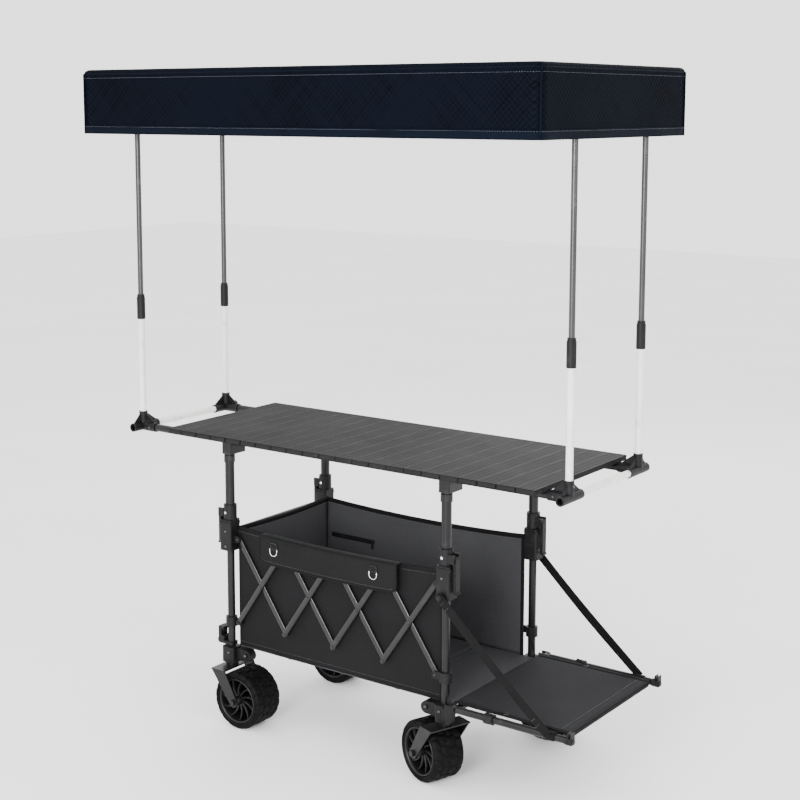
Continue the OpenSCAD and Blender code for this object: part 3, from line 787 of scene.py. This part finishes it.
def sideWall(name, node, side):
    low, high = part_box(node)
    face = low.y if side < 0 else high.y
    length = rightEnd - leftEnd
    height = rimHeight - floorBottom

    def place(u, v):
        x = leftEnd + length * u
        z = floorBottom + 0.0005 + (rimZ(u, tub["rimSag"]) - floorBottom) * v
        belly = math.sin(math.pi * u) * math.sin(math.pi * v)
        soft = wobble(x, z, 0.17, side * 3) * 0.8 + wobble(x * 1.5, z * 0.5, 0.07, side * 5) * 0.35
        # straight pulls run from the posts' ends down into the cloth
        pull = math.sin((u * 5 - v * 3) * math.pi) * 0.2 * (1 - belly)
        inward = tub["bulge"] * (1.0 + soft + pull) * (0.25 + 0.75 * belly)
        return Vector((x, face - side * (tub["cloth"] / 2 + inward * 0.9), z))

    # the faces inside the tub take the lighter canvas, which is painted light
    front, back = (tubCanvas, tubCanvasPaintedLight) if side < 0 else (tubCanvasPaintedLight, tubCanvas)
    wall = gridSheet(name, (length, height), tub["step"], place, front, tub["cloth"], back)
    rimPath = [place(i / 50, 1) for i in range(51)]
    footPath = [place(i / 50, 0.004) + Vector((0, side * 0.0006, 0.002)) for i in range(51)]
    rim = bead(name + "Rim", rimPath, tub["rimRadius"], edgeTape, flat=0.75)
    foot = bead(name + "Foot", footPath, 0.0026, edgeTape, flat=0.5)
    outer = Vector((0, side * (tub["cloth"] / 2 + 0.0003), 0))
    rows = [[place(i / 90, 1 - d) + s * outer for i in range(91)] for d in (0.026, 0.032) for s in (1, -1)]
    rows += [[place(i / 90, 0.04) + outer for i in range(91)]]
    thread = stitches(name + "Thread", rows, greyThread)
    pieces = [wall, rim, foot, thread]
    for outward in (1, -1):
        lift = Vector((0, outward * side * (tub["cloth"] / 2 + 0.0007), 0))

        def topBand(u, v, lift=lift):
            return place(u, 1 - tub["band"] / height * (1 - v)) + lift

        def endBand(u, v, lift=lift):
            return place(1 - tub["band"] / length * (1 - u), v * 0.995) + lift

        bands = (("TopBand", (length, tub["band"]), topBand), ("EndBand", (tub["band"], height), endBand))
        for label, size, band in bands:
            pieces.append(gridSheet(name + label, size, tub["tapeStep"], band, edgeTape, tub["tape"]))
    foldAway(pieces, leftEnd, rightEnd)
    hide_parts(node)
    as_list(pieces[1:])


sideWall("nearWallCloth", "near_wall", -1)
sideWall("farWallCloth", "far_wall", 1)


def endWall():
    low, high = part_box("left_wall")
    width, height = high.y - low.y, rimHeight - floorBottom

    def place(u, v):
        y = low.y + width * u
        z = floorBottom + 0.007 + (rimZ(u, 0.007) - floorBottom - 0.007) * v
        belly = math.sin(math.pi * u) * math.sin(math.pi * v)
        soft = wobble(y, z, 0.14, 8) + wobble(y * 1.6, z * 0.6, 0.06, 12) * 0.4
        return Vector((low.x + 0.0012 + tub["bulge"] * (0.3 + 0.7 * belly) * (1 + soft) * 0.7, y, z))

    # the inner face takes the lighter canvas, which is painted light
    wall = gridSheet("leftWallCloth", (width, height), tub["step"], place, tubCanvasPaintedLight, tub["cloth"], tubCanvas)
    rim = bead("leftWallRim", [place(i / 30, 1) for i in range(31)], tub["rimRadius"], edgeTape)
    rows = [[place(i / 60, 0.97) + Vector((s * 0.0014, 0, 0)) for i in range(61)] for s in (-1, 1)]
    thread = stitches("leftWallThread", rows, greyThread)

    def topBand(u, v):
        return place(u, 1 - tub["band"] / height * (1 - v)) + Vector((0.0018, 0, 0))

    band = gridSheet("leftWallBand", (width, tub["band"]), tub["tapeStep"], topBand, edgeTape, tub["tape"])
    dress([wall, rim, thread, band], "tub_canvas", "root")
    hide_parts("left_wall")


endWall()


def floorMat():
    # a stiffened mat with creases where it folds
    low, high = floorLow, floorHigh
    # its right end stops short of the tailgate's panel
    length, width = high.x - low.x - 0.0015, high.y - low.y
    creases = [0.25, 0.5, 0.75]

    def place(u, v):
        dip = sum(math.exp(-(((u - c) * length / 0.006) ** 2)) for c in creases) * 0.0016
        edge = min(u * length, (1 - u) * length, v * width, (1 - v) * width)
        softEdge = 0.0016 * max(0.0, 1 - edge / 0.01) ** 2
        loose = wobble(u * length, v * width, 0.13, 2) * 0.0006
        return Vector((low.x + length * u, low.y + width * v, high.z - 0.0024 - dip - softEdge + loose))

    # the mat takes the lighter canvas, which is painted light
    mat = gridSheet("floorMat", (length, width), 0.009, place, tubCanvasPaintedLight, 0.0)
    applySteps(mat, ("SOLIDIFY", {"thickness": 0.0035, "offset": -1}))
    over = Vector((0, 0, 0.0004))
    besideCreases = [crease + d for crease in creases for d in (-0.014, 0.014)]
    rows = [[place(i / 80, v) + over for i in range(81)] for v in (0.03, 0.97)]
    rows += [[place(u, i / 50) + over for i in range(51)] for u in besideCreases]
    thread = stitches("floorThread", rows, greyThread)
    foldAway([mat, thread], low.x, high.x)
    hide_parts("tub_floor")


floorMat()

flap = {
    "bend": 0.009,
    "tab": 0.026,
    "ringRadius": 0.0128,
    "ringWire": 0.0013,
    "ringArm": 0.008,
    "ringPlaces": (-0.199, 0.150),
}


def hangingFlap():
    # the flap folds over the near rim and hangs outside the scissor bars
    low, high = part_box("near_flap")
    start, end = low.x, high.x
    inner, outer = tubLow.y + 0.002, low.y + 0.0045
    across = inner - outer
    drop = high.z - low.z - 0.002
    bend = flap["bend"]
    profileLength = across + drop

    def sagAt(x):
        u = (x - leftEnd) / (rightEnd - leftEnd)
        return rimHeight - rimZ(u, tub["rimSag"]) - tub["rimRadius"]

    def place(u, v):
        x = start + (end - start) * u
        distance = v * profileLength
        top = high.z - 0.0015 - sagAt(x) * 0.9
        # rounded lower corners
        side = min(u, 1 - u) * (end - start)
        cut = 0.016 * max(0.0, 1 - side / 0.02) ** 2
        if distance < across - bend:
            return Vector((x, inner - distance, top))
        if distance < across + bend:
            angle = (distance - across + bend) / (2 * bend) * math.pi / 2
            return Vector((x, outer + bend - bend * math.sin(angle), top - bend + bend * math.cos(angle)))
        down = distance - across
        share = (down - bend) / (drop - bend)
        wave = wobble(x, 0, 0.09, 6) * 0.0016 + math.sin(x * 34) * 0.0006
        return Vector((x, outer + wave * share, top - down + cut * share))

    sheet = gridSheet("nearFlapCloth", (end - start, profileLength), 0.007, place, tubCanvas, 0.0018)
    edge = [place(0, 0.3 + 0.7 * i / 12) for i in range(13)]
    edge += [place(i / 60, 1) for i in range(1, 60)]
    edge += [place(1, 1 - 0.7 * i / 12) for i in range(13)]
    hem = bead("nearFlapHem", edge, 0.0024, edgeTape)
    out = Vector((0, -0.0012, 0))
    row = [place(0.012 + 0.976 * i / 80, 0.93) + out for i in range(81)]
    thread = stitches("nearFlapThread", [row], greyThread)
    parts = [hem, thread]
    for x in flap["ringPlaces"]:
        u = (x - start) / (end - start)
        crown = place(u, 0.32)
        tabTop, tabLow = crown.z - 0.004, crown.z - 0.034
        face = crown.y - 0.0014

        def tabPoint(a, b, x=x, tabTop=tabTop, tabLow=tabLow, face=face):
            # the tab swells where it doubles over the ring
            swell = 0.0016 * math.exp(-(((b - 0.9) / 0.15) ** 2))
            return Vector((x + (a - 0.5) * flap["tab"], face - 0.001 - swell, tabTop + (tabLow - tabTop) * b))

        tab = gridSheet("flapTab", (flap["tab"], tabTop - tabLow), 0.0018, tabPoint, tubCanvas, 0.0016)
        centre = Vector((x, face - 0.003, tabLow + 0.004))
        arm = Vector((0, 0, flap["ringArm"]))
        level, up = Vector((flap["ringRadius"], 0, 0)), Vector((0, 0, flap["ringRadius"]))
        bow = [centre + spun(level, up, -math.pi * i / 20) for i in range(21)]
        bow = [bow[0] + arm] + bow + [bow[-1] + arm]
        ring = bead("flapRing", bow, flap["ringWire"], chromePlate, sides=10)
        cross = [(-0.4, 0.1), (0.4, 0.1), (0.4, 0.62), (-0.4, 0.62), (-0.4, 0.1)]
        corner = [tabPoint(0.5 + a, b) + Vector((0, -0.0011, 0)) for a, b in cross]
        sewn = stitches("flapTabThread", [corner], greyThread)
        parts += [tab, ring, sewn]
    foldAway([sheet] + parts, leftEnd, rightEnd)
    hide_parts("near_flap")


hangingFlap()

pocket = {"start": -0.335, "end": -0.172, "height": 0.47, "gap": 0.003, "tape": 0.0042}


def zipPocket():
    # the far wall's inner pocket closes with a dark zip and its puller
    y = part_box("far_wall")[0].y - 0.0012
    start, end, z = pocket["start"], pocket["end"], pocket["height"]
    length = end - start
    parts = []
    for side in (-1, 1):
        path = [Vector((start + length * i / 24, y, z + side * pocket["gap"])) for i in range(25)]
        parts.append(bead("zipTape", path, pocket["tape"], mouldedNylon, flat=0.35))
    teeth = [Vector((start + 0.004 + (length - 0.008) * i / 24, y - 0.001, z)) for i in range(25)]
    parts.append(stitches("zipTeeth", [teeth], mouldedNylon))
    slider = [Vector((end - 0.006, y - 0.004, z + 0.006 - 0.026 * i / 6)) for i in range(7)]
    parts.append(bead("zipPuller", slider, 0.0042, mouldedNylon, flat=0.5))
    foldAway(parts, leftEnd, rightEnd)


zipPocket()
print("tub sewn")


# tailgate: its cloth panel, straps and ties

tail = {
    "cloth": 0.0024,
    "step": 0.012,
    "band": 0.016,
    "bandStart": 0.015,
    "strapWidth": 0.025,
    "strapSag": 0.006,
    "strapTop": (0.375, 0.5233),
    "strapFoot": 0.708,
    "tubeY": 0.2395,
    "wrapRadius": 0.0118,
    "tieStart": 0.514,
    "tieEnd": (0.556, 0.212),
}
hinge = Vector(joints["tailgate_swing"]["pos_m"])


def tailPanel():
    low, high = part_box("tail_panel")
    length, width = high.x - low.x, high.y - low.y

    def place(u, v):
        x, y = low.x + length * u, low.y + width * v
        belly = math.sin(math.pi * u) * math.sin(math.pi * v)
        soft = wobble(x, y, 0.12, 5) * 0.0009 + wobble(x * 0.5, y * 2, 0.06, 7) * 0.0004
        return Vector((x, y, high.z - 0.0014 - 0.0016 * belly + soft))

    panel = gridSheet("tailPanelCloth", (length, width), tail["step"], place, panelCanvas, tail["cloth"])
    edges = [[place(i / 40, v) for i in range(41)] for v in (0, 1)]
    hems = [bead("tailPanelHem", path, 0.003, edgeTape) for path in edges]
    over = Vector((0, 0, 0.0015))
    rows = [[place(i / 60, v) + over for i in range(61)] for v in (0.03, 0.97)]
    rows += [[place(0.915, i / 60) + over for i in range(61)]]
    thread = stitches("tailPanelThread", rows, greyThread)
    share = tail["band"] / width
    bandLength = 1 - tail["bandStart"]
    for start in (0, 1 - share):

        def bandPoint(u, v, start=start):
            return place(tail["bandStart"] + bandLength * u, start + share * v) + Vector((0, 0, 0.0018))

        size = (length * bandLength, tail["band"])
        hems.append(gridSheet("tailPanelBand", size, 0.008, bandPoint, edgeTape, tub["tape"]))
    # the panel's end is a sleeve round the cross tube
    tubeX = high.x - 0.010
    radius = 0.0095
    sleeveSize = (width - 0.008, 0.044)

    def sleevePoint(u, v):
        angle = math.radians(95) - math.radians(250) * v
        y = low.y + 0.004 + sleeveSize[0] * u
        swell = radius * (1 + 0.04 * wobble(y, v, 0.05, 3))
        return Vector((tubeX + swell * math.cos(angle), y, hinge.z + swell * math.sin(angle)))

    sleeve = gridSheet("tailPanelSleeve", sleeveSize, 0.005, sleevePoint, edgeTape, 0.0014)
    dress([panel, thread, sleeve] + hems, "tub_canvas", "tailgate")
    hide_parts("tail_panel")


tailPanel()


def tailStrap(side):
    planeY = side * (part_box("straps")[1].y - 0.0008)
    top = Vector((tail["strapTop"][0], planeY, tail["strapTop"][1]))
    foot = Vector((tail["strapFoot"], planeY, hinge.z))
    down = foot - top
    length = down.length
    along = down.normalized()
    broad = along.cross(Vector((0, 1, 0))).normalized()
    width = tail["strapWidth"]
    half = width / 2

    def place(u, v):
        # the band rounds off at its upper end and hangs slightly slack
        reach = -half * 0.9 + (length + half * 0.4) * v
        narrow = math.sqrt(max(0.0, 1 - max(0.0, -reach / half) ** 2))
        drop = tail["strapSag"] * math.sin(math.pi * max(0.0, min(1.0, reach / length)))
        twist = 0.0006 * math.sin(v * 9 + u * 2)
        point = top + along * reach + broad * ((u - 0.5) * width * max(0.12, narrow))
        return point + Vector((0, side * (twist - 0.0002), -drop))

    bandSize = (width, length + width * 0.65)
    name = "tailStrapNear" if side < 0 else "tailStrapFar"
    band = gridSheet(name, bandSize, 0.004, place, strapWebbing, 0.0014)
    wrapRadius = tail["wrapRadius"]

    def wrapPoint(u, v):
        angle = math.radians(-40) + math.radians(300) * v
        y = side * tail["tubeY"] + side * wrapRadius * math.cos(angle)
        return Vector((foot.x + (u - 0.5) * width, y, hinge.z + wrapRadius * math.sin(angle)))

    wrapSize = (width, 0.062)
    wrap = gridSheet("strapWrap", wrapSize, 0.004, wrapPoint, strapWebbing, 0.0014)
    face = Vector((0, side * 0.0012, 0))
    rows = [[place(u / 10, v) + face for u in range(1, 10)] for v in (0.06, 0.1, 0.88, 0.92)]
    thread = stitches("strapThread", rows, paleThread)
    level, up = Vector((0.0062, 0, 0)), Vector((0, 0, 0.0062))
    eyelet = [top + face + spun(level, up, 2 * math.pi * i / 24) for i in range(24)]
    ring = bead("strapEyelet", eyelet, 0.0013, zincPlate, closed=True)
    for piece in (band, thread, ring):
        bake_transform(piece)
    dress([wrap], "webbing", "tailgate")
    return band


strapPieces = [tailStrap(side) for side in (-1, 1)]
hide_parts("straps")


def lashings():
    # a thin elastic ties the panel's edge to the collar of each side tube
    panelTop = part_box("tail_panel")[1].z
    for side in (-1, 1):
        start = Vector((tail["tieStart"], side * tail["tubeY"], hinge.z + 0.0145))
        end = Vector((tail["tieEnd"][0], side * tail["tieEnd"][1], panelTop + 0.0012))
        middle = start.lerp(end, 0.5) + Vector((0, 0, 0.0035))
        path = [start.lerp(middle, t / 8).lerp(middle.lerp(end, t / 8), t / 8) for t in range(9)]
        cord = bead("panelTie", path, 0.0016, edgeTape)
        level, across = Vector((0.0055, 0, 0)), Vector((0, 0.0055, 0))
        centre = end - Vector((0, 0, 0.0004))
        eyelet = [centre + spun(level, across, 2 * math.pi * i / 20) for i in range(20)]
        ring = bead("panelEyelet", eyelet, 0.0012, zincPlate, closed=True)
        dress([cord, ring], "webbing", "tailgate")


lashings()
print("tailgate sewn")


# wheels

wheel = {
    "spokes": 11,
    "hubRadius": 0.013,
    "rimRadius": 0.066,
    "spokeSweep": 0.38,
    "treadDepth": 0.0034,
    "treadBlocks": 18,
    "sides": 180,
    "shoulder": 0.011,
    "axle": 0.00515,
}


def smoothStep(value, low, high):
    t = max(0.0, min(1.0, (value - low) / (high - low)))
    return t * t * (3 - 2 * t)


def mirrored(outline):
    # the other half follows in reverse
    return outline + [(-along, r) for along, r in reversed(outline)]


def buildTyre(name, radius, half):
    inner = wheel["rimRadius"]
    shoulder = wheel["shoulder"]
    edge = [(-half + 0.004, inner + 0.0002), (-half + 0.001, inner + 0.003), (-half, inner + 0.007)]
    for i in range(7):
        along = half - shoulder + shoulder * math.cos(math.pi / 2 * i / 6)
        edge.append((-along, radius - shoulder + shoulder * math.sin(math.pi / 2 * i / 6)))
    steps = 22
    crown = [(-half + shoulder + (2 * half - 2 * shoulder) * i / steps, radius) for i in range(1, steps)]
    outline = edge + crown + [(-along, r) for along, r in reversed(edge)]
    pitch = 2 * math.pi / wheel["treadBlocks"]

    def tread(angle, along, r):
        # slanted blocks in four staggered rows, cut by a zigzag middle groove
        if r < radius - 0.006:
            ridge = 0.0008 * smoothStep(abs(r - inner - 0.009), 0.0035, 0.0015)
            return r + ridge
        share = along / half
        row = 0 if abs(share) < 0.5 else 1
        slant = abs(share) * 0.35 + (0.5 if row else 0.0) + (0.25 if share > 0 else 0.0)
        phase = (angle / pitch + slant) % 1.0
        across = min(phase, 1 - phase) * pitch * radius
        lateral = smoothStep(across, 0.0016, 0.0034)
        zigzag = 0.005 * math.sin(angle / pitch * 2 * math.pi)
        centre = smoothStep(abs(along - zigzag), 0.0014, 0.0034)
        between = smoothStep(abs(abs(along) - half * 0.5 - zigzag * 0.4), 0.0012, 0.003)
        top = min(lateral, centre, between)
        return r - wheel["treadDepth"] * (1 - top)

    return lathe(name, outline, wheel["sides"], treadRubber, tread)


def buildRim(name, half):
    outer, hub = wheel["rimRadius"], wheel["hubRadius"]
    lip = outer - 0.0005
    steppedIn = [(0.0045, 0), (0.002, 0.001), (0.002, 0.0035), (0.006, 0.0055), (0.014, 0.0065)]
    outline = [(-half + x, lip - drop) for x, drop in steppedIn] + [(-0.004, lip - 0.008)]
    barrel = lathe(name, mirrored(outline), 96, mouldedRim)
    axle = wheel["axle"]
    reach = half + 0.0085
    outline = [(-reach, axle), (-reach, hub - 0.003), (-reach + 0.002, hub - 0.001)]
    outline.append((-half * 0.5, hub + 0.001))
    core = lathe("hubCore", mirrored(outline), 48, mouldedRim)
    disc = lathe("hubDisc", mirrored([(-0.0015, hub), (-0.0015, lip - 0.006)]), 96, mouldedRim)
    points, faces = [], []
    steps = 12
    for side in (-1, 1):
        for spoke in range(wheel["spokes"]):
            base = 2 * math.pi * spoke / wheel["spokes"]
            first = len(points)
            for i in range(steps + 1):
                t = i / steps
                r = hub - 0.001 + (lip - 0.0055 - hub + 0.001) * t
                angle = base + side * wheel["spokeSweep"] * t**1.4
                thick = (0.0016 + 0.0012 * (1 - t)) / r
                face = half - 0.010 - 0.008 * (1 - t) * 0.4
                back, broad = face - 0.016, thick * 1.3
                section = ((-thick, face), (thick, face), (broad, back), (-broad, back))
                for turn, depth in section:
                    points.append((r * math.cos(angle + turn), side * depth, r * math.sin(angle + turn)))
            faces += tubeFaces(first, steps + 1, 4)
    spokes = makePiece("spokes", points, faces, mouldedRim)
    applySteps(spokes, ("BEVEL", {"width": 0.0004, "segments": 1}))
    return joinPieces(name, [barrel, core, disc, spokes])


def placeWheel(corner):
    joint = joints["roll_" + corner]
    low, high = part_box("tyre_" + corner)
    radius = (high.z - low.z) / 2
    axis = Vector(joint["axis"]).normalized()
    up = Vector((0, 0, 1))
    turn = Matrix((axis.cross(up), axis, up)).transposed().to_4x4()
    # the width follows from the box of the turned wheel
    cosine, sine = abs(axis.y), abs(axis.x)
    half = ((high.y - low.y) / 2 - radius * sine) / cosine
    placed = Matrix.Translation(joint["pos_m"]) @ turn
    tyre = buildTyre("tyreTread_" + corner, radius, half)
    rim = buildRim("wheelRim_" + corner, half)
    for piece, node, slotName in ((tyre, "tyre_", "wheel_tread"), (rim, "rim_", "wheel_plastic")):
        piece.data.transform(placed)
        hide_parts(node + corner)
        dress([piece], slotName, "wheel_" + corner)


for corner in cornerNames:
    placeWheel(corner)
print("wheels moulded")


# small hardware


def screwHead(name, place, direction, radius, material=zincPlate):
    # a button-head screw with a hexagon socket, seen from its direction
    out = Vector(direction).normalized()
    side = out.cross(Vector((0.3, 0.5, 0.81))).normalized()
    up = side.cross(out)
    outline = [(1.0, -0.35), (1.0, 0.05), (0.86, 0.32), (0.62, 0.46), (0.46, 0.5), (0.4, 0.5), (0.4, 0.1)]
    count = 18
    points = []
    for ring, (share, height) in enumerate(outline):
        for k in range(count):
            angle = 2 * math.pi * k / count
            # the last two rings are the socket, which has flats
            flats = math.cos(math.pi / 6) / math.cos((angle % (math.pi / 3)) - math.pi / 6) if ring > 4 else 1
            reach = radius * share * flats
            points.append(Vector(place) + spun(side, up, angle) * reach + out * height * radius)
    faces = tubeFaces(0, len(outline), count)
    faces.append(tuple(range((len(outline) - 1) * count, len(outline) * count)))
    return makePiece(name, points, faces, material)


def screwSet(name, body, spots, radius):
    # several screws as one piece; spots are pairs of a place and a direction
    heads = [screwHead(name, place, direction, radius) for place, direction in spots]
    dress([joinPieces(name, heads)], "bright_steel", body)


screws = {
    "postX": 0.375,
    "bracketY": 0.2422,
    "bracketZ": (0.5275, 0.5720),
    "bracketEnd": (0.0232, 0.2123, 0.5450),
    "bracketRadius": 0.0042,
    # inward from the post, out from the middle, and below the casting's top
    "casting": ((0.006, 0.2424, 0.016), (0.058, 0.2304, 0.0185)),
    "castingRadius": 0.0045,
}
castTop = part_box("left_castings")[1].z
for end, body in ((-1, "root"), (1, "right_frame")):
    heads, feet = [], []
    for side in (-1, 1):
        outward = (0, side, 0)
        for z in screws["bracketZ"]:
            heads.append(((end * screws["postX"], side * screws["bracketY"], z), outward))
        past, y, z = screws["bracketEnd"]
        heads.append(((end * (screws["postX"] + past), side * y, z), (end, 0, 0)))
        for inward, y, below in screws["casting"]:
            feet.append(((end * (screws["postX"] - inward), side * y, castTop - below), outward))
    screwSet("bracketScrews_" + body, body, heads, screws["bracketRadius"])
    screwSet("castingScrews_" + body, body, feet, screws["castingRadius"])

scissor = {"width": 0.016, "thick": 0.007, "sides": 20, "headRadius": 0.0048}


def roundedBar(start, end):
    # an oval bar with round ends, between two pivots
    half = scissor["width"] / 2
    length = (end - start).length
    along = (end - start).normalized()
    across = along.cross(Vector((0, 1, 0)))
    cap = [(1 - math.cos(math.pi / 2 * k / 6), max(0.08, math.sin(math.pi / 2 * k / 6))) for k in range(7)]
    rings = [(-half + half * reach, share) for reach, share in cap]
    rings += [(length + half - half * reach, share) for reach, share in reversed(cap)]
    points = []
    sides = scissor["sides"]
    for reach, share in rings:
        for k in range(sides):
            angle = 2 * math.pi * k / sides
            cosine, sine = math.cos(angle), math.sin(angle)
            wide = math.copysign(abs(cosine) ** 0.8, cosine) * half * share
            deep = math.copysign(abs(sine) ** 0.75, sine) * scissor["thick"] / 2 * share**0.3
            points.append(start + along * reach + across * wide + Vector((0, deep, 0)))
    faces = tubeFaces(0, len(rings), sides)
    faces += [tuple(range(sides))[::-1], tuple(range((len(rings) - 1) * sides, len(rings) * sides))]
    return makePiece("bar", points, faces, satinBar)


def scissorBars():
    # the falling bars lie in the inner layer and carry the rivets; the rising bars lie outside them
    topPivot = Vector(joints["bar_1_down_turn"]["pos_m"])
    crossing = Vector(joints["bar_1_up_turn"]["pos_m"])
    pitch, drop = 2 * (crossing.x - topPivot.x), 2 * (topPivot.z - crossing.z)
    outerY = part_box("bar_1_up")[1].y - scissor["thick"] / 2
    innerY = outerY - scissor["thick"] - 0.0005
    face = outerY + scissor["thick"] / 2
    for stage in range(1, 5):
        left, right = topPivot.x + (stage - 1) * pitch, topPivot.x + stage * pitch
        for way in ("down", "up"):
            high, low = (left, right) if way == "down" else (right, left)
            pieces = []
            for side in (-1, 1):
                y = side * (innerY if way == "down" else outerY)
                top = Vector((high, y, topPivot.z))
                foot = Vector((low, y, topPivot.z - drop))
                pieces.append(roundedBar(top, foot))
                pins = [top] if way == "up" and stage == 2 else [foot] if way == "up" and stage == 3 else []
                if way == "down":
                    pins = [top] * (stage != 3) + [(top + foot) / 2] + [foot] * (stage != 2)
                for pin in pins:
                    spot = Vector((pin.x, side * face, pin.z))
                    pieces.append(screwHead("rivet", spot, (0, side, 0), scissor["headRadius"], satinBar))
            piece = joinPieces(f"scissorBar_{stage}_{way}", pieces)
            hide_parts(f"bar_{stage}_{way}")
            dress([piece], "coated_steel", f"{way}_{stage}")


scissorBars()

# black plugs close both ends of every slat, and shallow ribs run along its top; dark strips along each slat's
# long edges are painted shade of the gaps between slats
slatLow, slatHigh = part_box("table_slats")
slatCount = 22
slatGap = 0.0025
slatPitch = (slatHigh.x - slatLow.x + slatGap) / slatCount
plugRings = ((0.0022, 0.0002), (0.0022, 0.0012), (0.0042, 0.0020))
gapShadeWidth = 0.0021


def slatTrim():
    plugPoints, plugFaces, ribPoints, ribFaces, gapShadePoints, gapShadeFaces = [], [], [], [], [], []
    width = slatPitch - slatGap
    for number in range(slatCount):
        x0 = slatLow.x + number * slatPitch
        for y, out in ((slatLow.y, -1), (slatHigh.y, 1)):
            first = len(plugPoints)
            for inset, reach in plugRings:
                left, right = x0 + inset, x0 + width - inset
                under, top = slatLow.z + inset, slatHigh.z - inset
                for x, z in ((left, under), (right, under), (right, top), (left, top)):
                    plugPoints.append((x, y + out * reach, z))
            plugFaces += tubeFaces(first, 3, 4)
            plugFaces.append(tuple(first + 8 + k for k in range(4)))
        for share in (0.2, 0.5, 0.8):
            first = len(ribPoints)
            x = x0 + width * share
            for y in (slatLow.y + 0.002, slatHigh.y - 0.002):
                for dx, dz in ((-0.0011, 0.0001), (0, 0.00055), (0.0011, 0.0001)):
                    ribPoints.append((x + dx, y, slatHigh.z + dz))
            for k in range(2):
                ribFaces.append((first + k, first + k + 1, first + k + 4, first + k + 3))
        # dark strips on both long edges of the slat: painted shade that makes the gap beside it look wider
        for x in (x0, x0 + width - gapShadeWidth):
            first = len(gapShadePoints)
            for y in (slatLow.y + 0.001, slatHigh.y - 0.001):
                gapShadePoints += [(x, y, slatHigh.z + 0.0002), (x + gapShadeWidth, y, slatHigh.z + 0.0002)]
            gapShadeFaces.append((first, first + 1, first + 3, first + 2))
    edges = makePiece("slatGapPaintedShade", gapShadePoints, gapShadeFaces, mouldedNylon)
    plugs = makePiece("slatPlugs", plugPoints, plugFaces, mouldedNylon, smooth=False)
    ribs = makePiece("slatRibs", ribPoints, ribFaces, anodisedSlat)
    dress([plugs], "moulded_nylon", "counter")
    dress([edges, ribs], "slat_aluminium", "counter")


slatTrim()

# screws of the four corner fittings, on their inner ends and on the rails' sockets
fitting = {"x": (-0.754, 0.714), "y": 0.185, "socketZ": 0.858, "railZ": 0.827, "reach": 0.0142}
fittingSpots = []
for x, inward in zip(fitting["x"], (1, -1)):
    for side in (-1, 1):
        y = side * fitting["y"]
        fittingSpots.append(((x - inward * 0.0127, y, fitting["socketZ"]), (-inward, 0, 0)))
        y = side * (fitting["y"] + fitting["reach"])
        fittingSpots.append(((x + inward * 0.038, y, fitting["railZ"]), (0, side, 0)))
screwSet("fittingScrews", "counter", fittingSpots, 0.0036)
print("hardware fitted")
